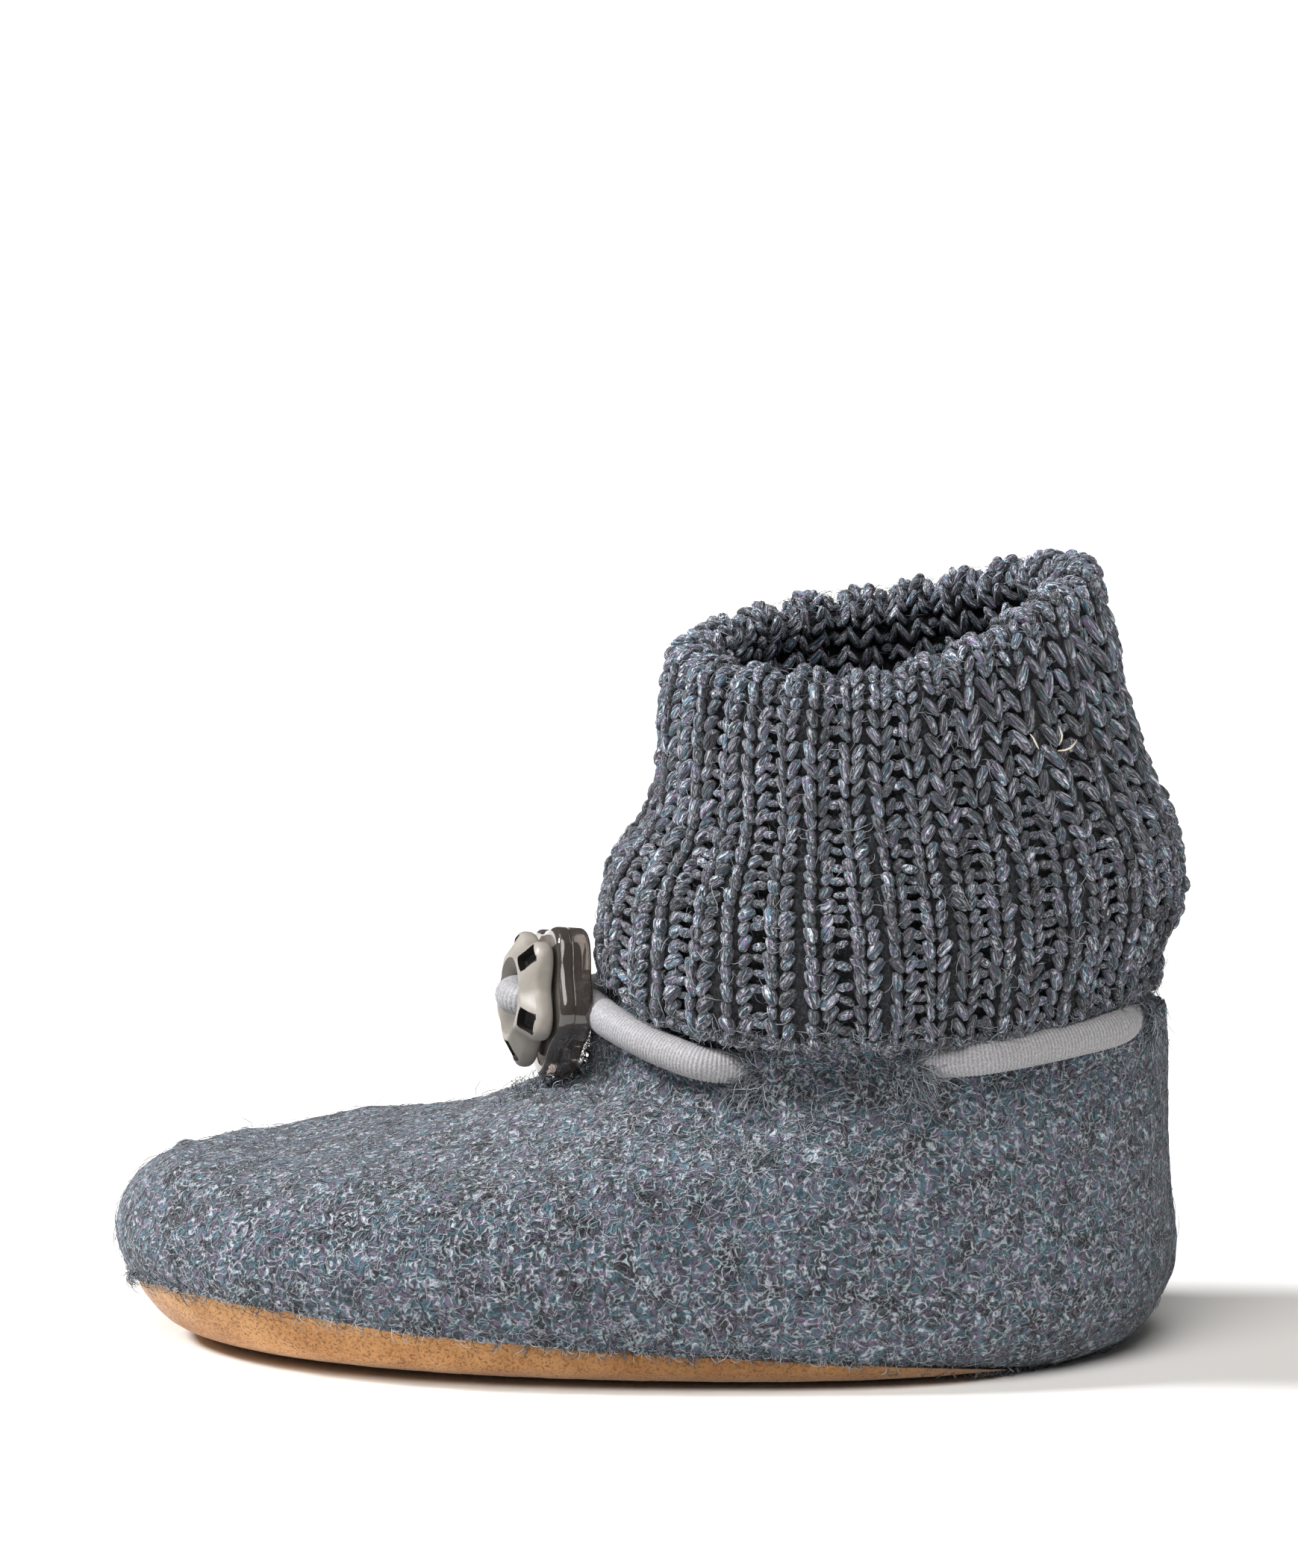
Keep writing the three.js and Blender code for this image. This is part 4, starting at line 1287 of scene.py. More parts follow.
CREASES = (
    Crease(Side.OUTER, ((-18, 36.5), (-26, 36.5)), 1.6, 4.5),
    Crease(Side.BOTH, ((4.6, 38.8), (6.8, 35.6)), -1.7, 3.0),
    Crease(Side.OUTER, ((-12, 31.5), (-27, 30.5), (-44, 31.5), (-56, 34)), 0.5, 4.0),
    Crease(Side.OUTER, ((-14, 26.5), (-30, 25.5), (-48, 27)), -0.45, 4.5),
    Crease(Side.INNER, ((-8, 31), (-26, 30), (-48, 31.5)), 0.5, 4.0),
    Crease(Side.BOTH, ((6, 33.5), (-4, 30), (-12, 29)), 0.45, 3.6),
    Crease(Side.BOTH, ((13, 30.5), (4, 26), (-6, 24)), -0.4, 4.2),
    Crease(Side.BOTH, ((22, 27.5), (16, 21), (8, 17)), 0.3, 5.0),
    Crease(Side.BOTH, ((35, 24.9), (31, 21)), -0.4, 3.6),
    Crease(Side.BOTH, ((45, 23.4), (41, 20)), 0.4, 3.2),
    Crease(Side.BOTH, ((55.5, 22.2), (54.5, 21)), -0.75, 1.6),
    Crease(Side.OUTER, ((-38, 14), (-30, 8), (-22, 6)), 0.35, 5.0),
    Crease(Side.BOTH, ((-62, 12), (-56, 6)), -0.3, 4.0),
)


@dataclass
class Upper(Assembly):
    """The boiled wool upper, its lumps, its creases and its loose fibres."""

    last: Last
    cord: CordForm
    wall: float = 2.4
    around: int = 400
    rows_outside: int = 74
    rows_inside: int = 22
    lump: float = 0.16
    lump_size: float = 2.6
    wave: float = 0.35
    wave_size: float = 14.0
    seam_width: float = 1.9
    seam_height: float = 0.55
    seam_flare: float = 0.75
    overhang: float = 0.3
    ragged: float = 0.45
    hang_share: float = 1 / 12
    floor_gap: float = 0.1
    hole_gap: float = 0.12
    mouths: tuple[tuple[float, int], ...] = ((64.5, -1), (100.0, 1), (158.5, -1))
    lip: float = 1.7
    lip_width: float = 4.4
    fibres: int = 5600
    mouth_fibres: int = 150
    edge_fibres: int = 1500
    instep_fibres: int = 420
    seed: int = 11

    def heel_seam(self, level: np.ndarray, spots: np.ndarray) -> np.ndarray:
        """How far the raised strip down the heel stands out.

        Args:
            level: the foot level of each spot.
            spots: points of the foot's face.

        Returns:
            One height for each spot, in millimetres.
        """
        strip = bell(spots[:, 1], self.seam_width) * (spots[:, 0] < 0)
        flare = bell(level - (CORD_LEVEL - 0.8), 3)
        tucked = smooth(level, CORD_LEVEL - 0.6, CORD_LEVEL + 0.2)
        height = self.seam_height * smooth(level, 3, 5) + self.seam_flare * flare
        groove = 0.25 * bell(spots[:, 1], 0.35) * (spots[:, 0] < 0) * smooth(level, 4, 6)
        return strip * (1 - tucked) * height - groove * (1 - tucked)

    def relief(self, level: np.ndarray, spots: np.ndarray) -> np.ndarray:
        """How far the wool's outer face stands out from the foot's own face.

        Args:
            level: the foot level of each spot.
            spots: points of the foot's face.

        Returns:
            One height for each spot, in millimetres.
        """
        out = self.heel_seam(level, spots)
        for direction, _ in self.mouths:
            for hand in (1, -1):
                mouth = self.last.point(float(CORD_LEVEL), hand * math.radians(direction))
                out = out + self.lip * bell(np.linalg.norm(spots - mouth, axis=1), self.lip_width)
        for crease in CREASES:
            out = out - crease.press(spots + ORIGIN_SHIFT)
        fine = [noise.fractal(Vector(spot / self.lump_size), 1.0, 2.0, 3) for spot in spots]
        broad = [noise.noise(Vector(spot / self.wave_size)) for spot in spots]
        calm = 1 - 0.8 * smooth(level, CORD_LEVEL - 0.4, CORD_LEVEL + 0.4)
        return out + calm * (self.lump * np.array(fine) + self.wave * np.array(broad))

    def levels(self, share: np.ndarray, angle: np.ndarray) -> np.ndarray:
        """Foot levels from the seam to the collar that lie about evenly up the wool.

        Args:
            share: shares of the way up, from 0 to 1.
            angle: direction from the toe.

        Returns:
            One level for each place.
        """
        steps = np.linspace(0, 1, 241)
        travelled = np.zeros_like(steps)
        for direction in (0.0, TURN / 4, TURN / 2):
            low = self.last.seam_level(np.array(direction))
            line = self.last.point(low + steps * (COLLAR_LEVEL - low), np.array(direction))
            length = np.concatenate([[0], np.cumsum(np.linalg.norm(np.diff(line, axis=0), axis=1))])
            travelled += length / length[-1] / 3
        low = self.last.seam_level(angle)
        return low + np.interp(share, travelled, steps) * (COLLAR_LEVEL - low)

    def outer_face(self, share: np.ndarray, angle: np.ndarray) -> np.ndarray:
        """Points of the wool's outer face, in millimetres from the middle of the foot's length.

        Args:
            share: shares of the way up, from 0 to 1.
            angle: direction from the toe.

        Returns:
            The points.
        """
        level = self.levels(share, angle)
        spots = self.last.point(level, angle)
        return spots + self.last.normal(level, angle) * self.relief(level, spots)[:, None]

    def shape(self) -> bmesh.types.BMesh:
        """The wool wall: up its outer face, over the collar, down inside and under its edge.

        Returns:
            The closed wall, in metres.
        """
        rows = self.rows_outside + self.rows_inside + 6
        outside_end = self.rows_outside / rows
        top_end = (self.rows_outside + 2) / rows
        inside_end = (self.rows_outside + 2 + self.rows_inside) / rows

        def place(share: np.ndarray, along: np.ndarray) -> np.ndarray:
            """The sheet's points.

            Args:
                share: shares of its girth.
                along: shares of the way from its first row to its last.

            Returns:
                The points, in metres.
            """
            angle = self.last.angles(share)
            outside = along <= outside_end
            inside = (along >= top_end) & (along <= inside_end)
            under = along > inside_end
            height = np.ones_like(along)
            height[outside] = along[outside] / outside_end
            height[inside] = 1 - (along[inside] - top_end) / (inside_end - top_end)
            height[under] = 0
            level = self.levels(height, angle)
            spots = self.last.point(level, angle)
            normal = self.last.normal(level, angle)
            depth = np.full_like(along, self.wall)
            middle = ~outside & ~inside & ~under
            depth[middle] = self.wall / 2
            facing = np.where(outside, 1.0, 0.0)
            facing[under] = (along[under] - inside_end) / (1 - inside_end)
            part = facing > 0
            relief = self.relief(level[part], spots[part])
            depth[part] = self.wall * (1 - facing[part]) - relief * facing[part]
            spots = spots - normal * depth[:, None]
            down = self.last.point(level, angle) - self.last.point(level + 0.05, angle)
            ragged = [noise.noise(Vector((30 * math.cos(a), 30 * math.sin(a), 1.0))) for a in angle]
            hang = self.overhang + self.ragged * np.array(ragged)
            hang = hang * bell(height, self.hang_share) * facing
            spots = spots + unit(down) * hang[:, None]
            spots[:, 2] = np.maximum(spots[:, 2], self.floor_gap)
            return (spots + ORIGIN_SHIFT) * MM

        return rolled_sheet(self.around, rows, place)

    def build(self) -> None:
        """Builds the wool with its six cord holes, and its loose fibres."""
        wool = new_piece("wool_upper", self.shape())
        line = self.cord.line(1.0)
        radius = np.full(len(line), self.cord.diameter / 2 + self.hole_gap)
        cut_with(wool, [tube(line, radius, 16, closed=True)], 60)
        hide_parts("upper")
        random = np.random.default_rng(self.seed)
        share = random.uniform(0, 0.93, self.fibres) ** 1.05
        angle = self.last.angles(random.uniform(0, 1, self.fibres))
        roots = self.outer_face(share, angle) + ORIGIN_SHIFT
        normal = self.last.normal(self.levels(share, angle), angle)
        fuzz = Fuzz("wool_fibres", length=(1.2, 3.4), radius=0.042, lift=0.2)
        fibres = fuzz.build(roots, normal, self.seed + 1, 0.006)
        self.keep(wool, fibres, self.mouth_tufts(), self.edge_tufts(), self.instep_tufts())

    def dress(self, finishes: Finishes) -> None:
        """Gives the wool its melange and the fibres their shades.

        Args:
            finishes: every material of the slipper.
        """
        looks = {name: [finishes.hair] for name in self.pieces}
        looks["wool_upper"] = [finishes.felt]
        self.finish(looks, dict.fromkeys(self.pieces, "wool"))

    def brush(
        self,
        name: str,
        level: np.ndarray,
        angle: np.ndarray,
        ahead: np.ndarray,
        length: tuple[float, float],
    ) -> bpy.types.Object:
        """Fibres that mostly lie one way.

        Args:
            name: the piece's name.
            level: the foot level of each root.
            angle: its direction from the toe.
            ahead: the way the fibres lie.
            length: their shortest and longest length.

        Returns:
            The joined fibres.
        """
        random = np.random.default_rng(self.seed + len(level))
        spots = self.last.point(level, angle)
        normal = self.last.normal(level, angle)
        turn = random.normal(0, 0.5, len(level))[:, None]
        rise = random.uniform(0.05, 0.45, len(level))[:, None]
        side = np.cross(normal, ahead)
        heading = unit(ahead * np.cos(turn) + side * np.sin(turn) + normal * rise)
        out = unit(normal - heading * np.sum(normal * heading, axis=1, keepdims=True))
        roots = spots + normal * self.relief(level, spots)[:, None] + ORIGIN_SHIFT
        reach = random.uniform(*length, len(level))
        across = np.cross(heading, out)
        return strands(name, roots, heading, out, across, reach, 0.05, 0.6, self.seed + len(level))

    def mouth_tufts(self) -> bpy.types.Object:
        """Fibres that reach over the cord where it enters the wool.

        Returns:
            The joined fibres.
        """
        random = np.random.default_rng(self.seed + 2)
        levels, angles, aheads = [], [], []
        for direction, way in self.mouths:
            for hand in (1, -1):
                angle = hand * np.radians(
                    direction - way * random.uniform(-1.5, 5.0, self.mouth_fibres)
                )
                level = CORD_LEVEL + random.uniform(-2.6, 0.5, self.mouth_fibres)
                step = self.last.point(level, angle + 0.02 * hand * way)
                aheads.append(unit(step - self.last.point(level, angle)))
                levels.append(level)
                angles.append(angle)
        level, angle, ahead = (np.concatenate(rows) for rows in (levels, angles, aheads))
        return self.brush("mouth_fibres", level, angle, ahead, (2.4, 5.2))

    def instep_tufts(self) -> bpy.types.Object:
        """Fibres that stand up from the wool behind the cord lock.

        Returns:
            The joined fibres.
        """
        random = np.random.default_rng(self.seed + 6)
        angle = random.normal(0, 0.3, self.instep_fibres)
        level = random.uniform(12.6, 15.6, self.instep_fibres)
        ahead = unit(self.last.point(level + 0.1, angle) - self.last.point(level, angle))
        outward = self.last.normal(level, angle)
        return self.brush("instep_fibres", level, angle, unit(ahead + 0.8 * outward), (1.0, 2.4))

    def edge_tufts(self) -> bpy.types.Object:
        """Fibres that hang over the suede along the wool's lower edge.

        Returns:
            The joined fibres.
        """
        random = np.random.default_rng(self.seed + 4)
        angle = self.last.angles(random.uniform(0, 1, self.edge_fibres))
        level = self.levels(random.uniform(0, 0.035, self.edge_fibres), angle)
        ahead = unit(self.last.point(level - 0.1, angle) - self.last.point(level, angle))
        return self.brush("edge_fibres", level, angle, ahead, (0.7, 2.1))


@dataclass
class Fuzz:
    """Loose curled fibres that lie on a face, a few of them standing up."""

    name: str
    length: tuple[float, float]
    radius: float
    lift: float

    def build(
        self, roots: np.ndarray, normal: np.ndarray, seed: int, standing: float
    ) -> bpy.types.Object:
        """Lays the fibres on a face.

        Args:
            roots: where each fibre starts, in millimetres.
            normal: the face's outward direction there.
            seed: seeds their curl, turn and shade.
            standing: the share of them that stand up from the face.

        Returns:
            The joined fibres.
        """
        random = np.random.default_rng(seed)
        count = len(roots)
        across = unit(np.cross(normal, random.normal(size=(count, 3))))
        up = np.cross(across, normal)
        rise = random.uniform(size=count) < standing
        tilt = np.where(rise, random.uniform(0.5, 1.2, count), 0.0)[:, None]
        heading = unit(across * np.cos(tilt) + normal * np.sin(tilt))
        out = unit(normal * np.cos(tilt) - across * np.sin(tilt))
        length = random.uniform(*self.length, count)
        return strands(self.name, roots, heading, out, up, length, self.radius, self.lift, seed)


def strands(
    name: str,
    roots: np.ndarray,
    heading: np.ndarray,
    out: np.ndarray,
    across: np.ndarray,
    length: np.ndarray,
    radius: float,
    lift: float,
    seed: int,
    steps: int = 4,
    bend: float = 2.8,
) -> bpy.types.Object:
    """Thin three-sided curled strands, joined in one mesh.

    Args:
        name: the piece's name.
        roots: where each strand starts, in millimetres.
        heading: the direction in which it starts.
        out: the direction in which it arches.
        across: the direction in which it curls.
        length: its length.
        radius: its radius in the middle.
        lift: how high it arches.
        seed: seeds its curl and shade.
        steps: how many stretches it has.
        bend: how far it can turn from its root to its tip, in radians.

    Returns:
        The joined strands, with the attribute "tone".
    """
    random = np.random.default_rng(seed)
    count = len(roots)
    share = np.linspace(0, 1, steps + 1)[None]
    curl = random.uniform(-bend, bend, (count, 1))
    wander = random.uniform(-bend, bend, (count, 1)) / 3
    turn = curl * share + wander * np.sin(share * TURN)
    stride = (length / steps)[:, None]
    ahead = np.cumsum(np.cos(turn) * stride, axis=1) - np.cos(turn) * stride
    aside = np.cumsum(np.sin(turn) * stride, axis=1)
    arch = lift * random.uniform(0.3, 1.6, (count, 1)) * np.sin(share * math.pi) - 0.06
    line = (
        roots[:, None]
        + heading[:, None] * ahead[..., None]
        + across[:, None] * aside[..., None]
        + out[:, None] * arch[..., None]
    )
    line[..., 2] = np.maximum(line[..., 2], 2 * radius)
    tangent = unit(np.gradient(line, axis=1))
    side = unit(np.cross(tangent, out[:, None]))
    above = np.cross(side, tangent)
    taper = radius * (0.3 + 0.7 * np.sin(math.pi * (0.15 + 0.75 * share)))
    corners = np.arange(3) / 3 * TURN
    ring = side[:, :, None] * np.cos(corners)[:, None] + above[:, :, None] * np.sin(corners)[:, None]
    points = line[:, :, None] + ring * taper[..., None, None]
    section = np.arange(steps)[:, None] * 3 + np.arange(3)[None]
    following = np.arange(steps)[:, None] * 3 + (np.arange(3)[None] + 1) % 3
    first = np.stack([section, following + 3, following], axis=-1).reshape(-1, 3)
    second = np.stack([section, section + 3, following + 3], axis=-1).reshape(-1, 3)
    ends = np.array([[0, 1, 2], [steps * 3 + 2, steps * 3 + 1, steps * 3]])
    faces = np.concatenate([first, second, ends])
    per = (steps + 1) * 3
    numbers = (faces[None] + (np.arange(count) * per)[:, None, None]).reshape(-1, 3)
    tone = np.repeat(random.uniform(0, 1, count) ** 1.4, per)
    return triangle_piece(name, points.reshape(-1, 3), numbers, {"tone": tone})


@dataclass
class Sole(Assembly):
    """The suede cup sole and the fleece insole that lies in it."""

    last: Last
    wall: float = 2.4
    inset: float = 0.5
    seam_gap: float = 0.4
    around: int = 360
    insole_clearance: float = 0.45
    insole_thickness: float = 2.2
    insole_around: int = 180
    band_rows: int = 26
    edge_rows: int = 4
    nap_size: float = 1.7
    nap_depth: float = 0.05
    edge_reach: float = 2.3
    edge_rise: float = 0.5

    def squared(self, level: np.ndarray, angle: np.ndarray) -> np.ndarray:
        """How the lower edge along the two sides stands out past the foot's own rounding.

        Args:
            level: the foot level of each point.
            angle: its direction from the toe.

        Returns:
            The shifts, in millimetres.
        """
        side = smooth(np.abs(np.sin(angle)), 0.25, 0.8)
        reach = side * self.edge_reach * smooth(level, 0.9, 1.75) * (1 - smooth(level, 1.9, 4.2))
        rise = side * self.edge_rise * smooth(level, 0.9, 1.6) * (1 - smooth(level, 2.0, 3.4))
        return np.stack([np.zeros_like(level), np.sign(np.sin(angle)) * reach, rise], axis=-1)

    def cup(self) -> bmesh.types.BMesh:
        """The suede cup: tread, outer band, rounded edge and inside.

        Returns:
            The closed cup, in metres.
        """
        rows = 2 * self.band_rows + self.edge_rows
        outside_end = self.band_rows / rows
        inside_start = (self.band_rows + self.edge_rows) / rows

        def place(share: np.ndarray, along: np.ndarray) -> np.ndarray:
            """The sheet's points.

            Args:
                share: shares of its girth.
                along: shares of the way from its first row to its last.

            Returns:
                The points, in metres.
            """
            angle = self.last.angles(share)
            seam = self.last.seam_level(angle)
            edge = seam - self.seam_gap / self.last.speed(seam, angle)
            flat = np.minimum(1, 0.85 * edge)
            up = np.where(
                along <= outside_end,
                along / outside_end,
                np.where(along >= inside_start, (1 - along) / (1 - inside_start), 1.0),
            )
            level = flat + up * (edge - flat)
            inset = self.inset * smooth(level, 1, 3)
            over = np.clip((along - outside_end) / (inside_start - outside_end), 0, 1)
            depth = inset + (self.wall - inset) * (1 - np.cos(over * math.pi)) / 2
            spots = self.last.layer(level, angle, depth)
            nap = [noise.fractal(Vector(spot / self.nap_size), 1.0, 2.0, 3) for spot in spots]
            grain = self.nap_depth * np.array(nap) * (along <= outside_end) * smooth(level, 1.0, 1.6)
            spots = spots + self.last.normal(level, angle) * grain[:, None]
            spots = spots + self.squared(level, angle) * (along <= outside_end)[:, None]
            spots[:, 2] = np.where(over >= 1, spots[:, 2], np.maximum(spots[:, 2], 0))
            return (spots + ORIGIN_SHIFT) * MM

        return rolled_sheet(self.around, rows, place, capped=True)

    def insole(self) -> bmesh.types.BMesh:
        """The insole: a thin pad with a rounded upper edge.

        Returns:
            The closed pad, in metres.
        """
        depth = self.wall + self.insole_clearance
        top = depth + self.insole_thickness
        # Foot level, how far the edge is drawn in, and how far up the pad's thickness
        profile = np.array([
            [0.9, 0.0, 0.0], [1.15, 0.0, 0.0], [1.4, 0.0, 0.0], [1.7, 0.0, 0.0], [2.0, 0.0, 0.0],
            [2.0, 0.0, 0.55], [2.0, 0.08, 0.75], [2.0, 0.3, 0.92], [2.0, 0.7, 1.0],
            [2.0, 2.5, 1.0],
        ])
        rows = len(profile) - 1

        def place(share: np.ndarray, along: np.ndarray) -> np.ndarray:
            """The sheet's points.

            Args:
                share: shares of its girth.
                along: shares of the way from its first row to its last.

            Returns:
                The points, in metres.
            """
            angle = self.last.angles(share)
            index = np.round(along * rows).astype(int)
            level, shrink, rise = profile[index].T
            spots = self.last.layer(level, angle, np.full_like(level, depth))
            spots[:, 2] = np.where(rise > 0, spots[:, 2] + (top - spots[:, 2]) * rise, spots[:, 2])
            reach = np.linalg.norm(spots[:, :2], axis=1)
            spots[:, :2] *= ((reach - shrink) / reach)[:, None]
            return (spots + ORIGIN_SHIFT) * MM

        return rolled_sheet(self.insole_around, rows, place, capped=True)

    def build(self) -> None:
        """Builds the cup and the insole."""
        cup = new_piece("suede_cup", self.cup(), 50)
        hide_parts("outsole")
        pad = new_piece("fleece_insole", self.insole(), 60)
        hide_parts("insole")
        self.keep(cup, pad)

    def dress(self, finishes: Finishes) -> None:
        """Gives the cup its nap and the insole its fleece.

        Args:
            finishes: every material of the slipper.
        """
        self.finish(
            {"suede_cup": [finishes.suede], "fleece_insole": [finishes.lining]},
            {"suede_cup": "suede", "fleece_insole": "lining"},
        )


def on_rim(along: np.ndarray, start: float) -> np.ndarray:
    """1 over the cuff's rim and 0 outside and inside it, at places from 0 to 3 on the knit."""
    return smooth(along, start, 1.1) * (1 - smooth(along, 1.9, 2.2))


@dataclass
class Cuff(Assembly):
    """The two by two rib cuff: a ground painted dark as shade, its knit columns, its purl bars and its
    hem.
    """

    form: CuffForm
    ground_inset: float = 1.2
    ground_rows: int = 97
    ground_faces: int = 10
    stitch_inset: float = 0.6
    crown: float = 1.0
    crown_width: float = 0.27
    rim_crown: float = 2.0
    bar_inset: float = 1.1
    rim_relief: float = 1.2
    rows_outside: int = 23
    rows_rim: int = 5
    rows_inside: int = 8
    column_width: float = 4.8
    column_share: float = 0.47
    leg_spread: float = 0.23
    leg_width: float = 0.36
    leg_length: float = 1.32
    leg_depth: float = 0.7
    leg_lean: float = 0.42
    leg_pitch: float = 0.3
    wander: float = 0.4
    twist: float = 0.014
    hem_drop: float = 1.3
    hem_bulge: float = 1.1
    fibres: int = 7400
    seed: int = 23

    def rib_inset(self, share: np.ndarray, along: np.ndarray) -> np.ndarray:
        """How far a rib's profile lies under its crown.

        Args:
            share: shares of the rib's width.
            along: places up the outside, over the rim and down the inside, from 0 to 3.

        Returns:
            The insets, in millimetres.
        """
        from_valley = np.minimum(share, 1 - share)
        rim = on_rim(along, 0.75)
        depth = self.form.rib_depth * (1 - (1 - self.rim_relief) * rim)
        return depth * bell(from_valley, self.form.valley_width)

    def twisted(self, share: np.ndarray, along: np.ndarray) -> np.ndarray:
        """Shares of the girth after the lower ribs' lean towards the heel on the outer side."""
        part = smooth(share, 0, 0.08) * (1 - smooth(share, 0.22, 0.36))
        return share + self.twist * part * (1 - smooth(along, 0.05, 0.85))

    def skin(self, along: np.ndarray, angle: np.ndarray, inset: Values) -> np.ndarray:
        """Points on the knit's skin, the hem drawn down a little beside the front of the cord.

        Args:
            along: places up the outside, over the rim and down the inside, from 0 to 3.
            angle: direction from the toe.
            inset: how far under the skin.

        Returns:
            The points, in millimetres from the middle of the foot's length.
        """
        spots = self.form.wall_path(along, angle, inset)
        turned = np.abs(np.arctan2(np.sin(angle), np.cos(angle)))
        beside = bell(np.degrees(turned) - 45, 42)
        spots[..., 2] -= self.hem_drop * beside * (1 - smooth(along, 0, 0.35))
        side = smooth(np.abs(np.sin(angle)), 0.2, 0.9) * bell(along - 0.1, 0.24)
        return spots + self.form.outward(angle) * (self.hem_bulge * side)[..., None]

    def ground(self) -> bmesh.types.BMesh:
        """The ribbed ground under the stitches, closed along the hem.

        Returns:
            The closed ground, in metres.
        """
        ribs, rows = self.form.ribs, self.ground_rows

        def place(share: np.ndarray, along: np.ndarray) -> np.ndarray:
            """The sheet's points.

            Args:
                share: shares of its girth.
                along: shares of the way from its first row to its last.

            Returns:
                The points, in metres.
            """
            path = np.where(along > 1 - 0.5 / rows, 0.0, along * 3 * rows / (rows - 1))
            angle = self.form.angles(self.twisted(share, path))
            rib = self.rib_inset((share * ribs) % 1, path) * (1 - smooth(path, 2.2, 2.8))
            spots = self.skin(path, angle, self.ground_inset + rib)
            return (spots + ORIGIN_SHIFT) * MM

        return rolled_sheet(ribs * self.ground_faces, rows, place)

    def frames(
        self, share: np.ndarray, along: np.ndarray, inset: Values
    ) -> tuple[np.ndarray, np.ndarray, np.ndarray, np.ndarray]:
        """Places and directions on the knit's skin.

        Args:
            share: shares of the girth.
            along: places up the outside, over the rim and down the inside, from 0 to 3.
            inset: how far under the skin.

        Returns:
            The places, the directions across, out and up, all in millimetres.
        """
        angle = self.form.angles(self.twisted(share, along))
        step = 0.01
        spots = self.skin(along, angle, inset)
        up = unit(self.skin(along + step, angle, inset) - self.skin(along - step, angle, inset))
        across = unit(self.skin(along, angle + step, inset) - self.skin(along, angle - step, inset))
        out = unit(np.cross(across, up))
        across = np.cross(up, out)
        return spots + ORIGIN_SHIFT, across, out, up

    def pitch(self, share: np.ndarray, along: np.ndarray) -> np.ndarray:
        """How wide one rib is at places on the knit, in millimetres.

        Args:
            share: shares of the girth, from 0 to 1.
            along: places up the outside, over the rim and down the inside, from 0 to 3.

        Returns:
            One width for each place.
        """
        step = 0.002
        spots = self.frames(share, along, self.stitch_inset)[0]
        beside = self.frames(share + step, along, self.stitch_inset)[0]
        return np.linalg.norm(beside - spots, axis=1) / step / self.form.ribs

    def row_height(self, share: np.ndarray, along: np.ndarray) -> np.ndarray:
        """How high one row is at places on the knit, in millimetres.

        Args:
            share: shares of the girth, from 0 to 1.
            along: places up the outside, over the rim and down the inside, from 0 to 3.

        Returns:
            One height for each place.
        """
        step = 0.01
        spots = self.frames(share, along, self.stitch_inset)[0]
        above = self.frames(share, along + step, self.stitch_inset)[0]
        rows = np.where((along > 1) & (along < 2), self.rows_rim, self.rows_outside)
        return np.linalg.norm(above - spots, axis=1) / step / rows

    def rows(self) -> np.ndarray:
        """Where each row of stitches lies, from 0 at the hem to 2 and more inside.

        Returns:
            One place on the knit for each row.
        """
        outside = (np.arange(self.rows_outside) + 0.5) / self.rows_outside
        rim = 1 + (np.arange(self.rows_rim) + 0.5) / self.rows_rim
        inside = 2 + (np.arange(self.rows_inside) + 0.5) / self.rows_outside
        return np.concatenate([outside, rim, inside])

    def leg(self, hand: int) -> bmesh.types.BMesh:
        """One leg of a stitch, fuller at its top and bowed away from its column's middle.

        Args:
            hand: 1 for the leg on the column's right and -1 for the other.

        Returns:
            The leg, a unit ball before it is placed.
        """
        shape = bmesh.new()
        bmesh.ops.create_uvsphere(shape, u_segments=8, v_segments=6, radius=1.0)
        for vertex in shape.verts:
            along = vertex.co.z
            full = (1 + 0.12 * along) * (1 + 0.45 * abs(along) ** 3)
            bow = 1 - along * along
            vertex.co.x = vertex.co.x * full + hand * 0.2 * bow
            vertex.co.y = vertex.co.y * full + 0.2 * bow
        return shape

    def stitches(self, name: str, rows: np.ndarray) -> bpy.types.Object:
        """Some rows of the knit columns: two legs for each stitch, two columns on each rib.

        Args:
            name: the piece's name.
            rows: where the rows lie.

        Returns:
            The joined stitches.
        """
        random = np.random.default_rng(self.seed + len(rows))
        rib, side, along = np.meshgrid(
            np.arange(self.form.ribs), (-0.5, 0.5), rows, indexing="ij",
        )
        rib, side, along = rib.ravel(), side.ravel(), along.ravel()
        middle = (rib + 0.5) / self.form.ribs
        pitch = self.pitch(middle, along)
        rim = on_rim(along, 0.8)
        width = np.minimum(self.column_width, (self.column_share - 0.01 * rim) * pitch)
        drift = [noise.noise(Vector((s * 60, a * 4, 3.0))) for s, a in zip(middle + side, along)]
        girth = pitch * self.form.ribs
        share = middle + (side * width + np.array(drift) * self.wander) / girth
        spots, across, out, up = self.frames(share, along, self.stitch_inset)
        height = self.row_height(share, along)
        inside = smooth(along, 1.9, 2.3)
        count = len(share)
        places = []
        for hand in (-1, 1):
            from_valley = 0.5 - np.abs(side + hand * self.leg_spread) * width / pitch
            sunk = self.crown + (self.rim_crown - self.crown) * rim
            sunk = sunk * bell(from_valley, self.crown_width) * (1 - 0.5 * inside)
            lean = (hand * self.leg_lean + random.normal(0, 0.13, count))[:, None]
            lift = (self.leg_pitch + random.normal(0, 0.09, count))[:, None]
            tall = unit(up * np.cos(lean) + across * np.sin(lean) - out * np.sin(lift))
            face = unit(out - tall * np.sum(out * tall, axis=1, keepdims=True))
            wide = np.cross(tall, face) * -1
            grow = 1 + random.normal(0, 0.09, (count, 1))
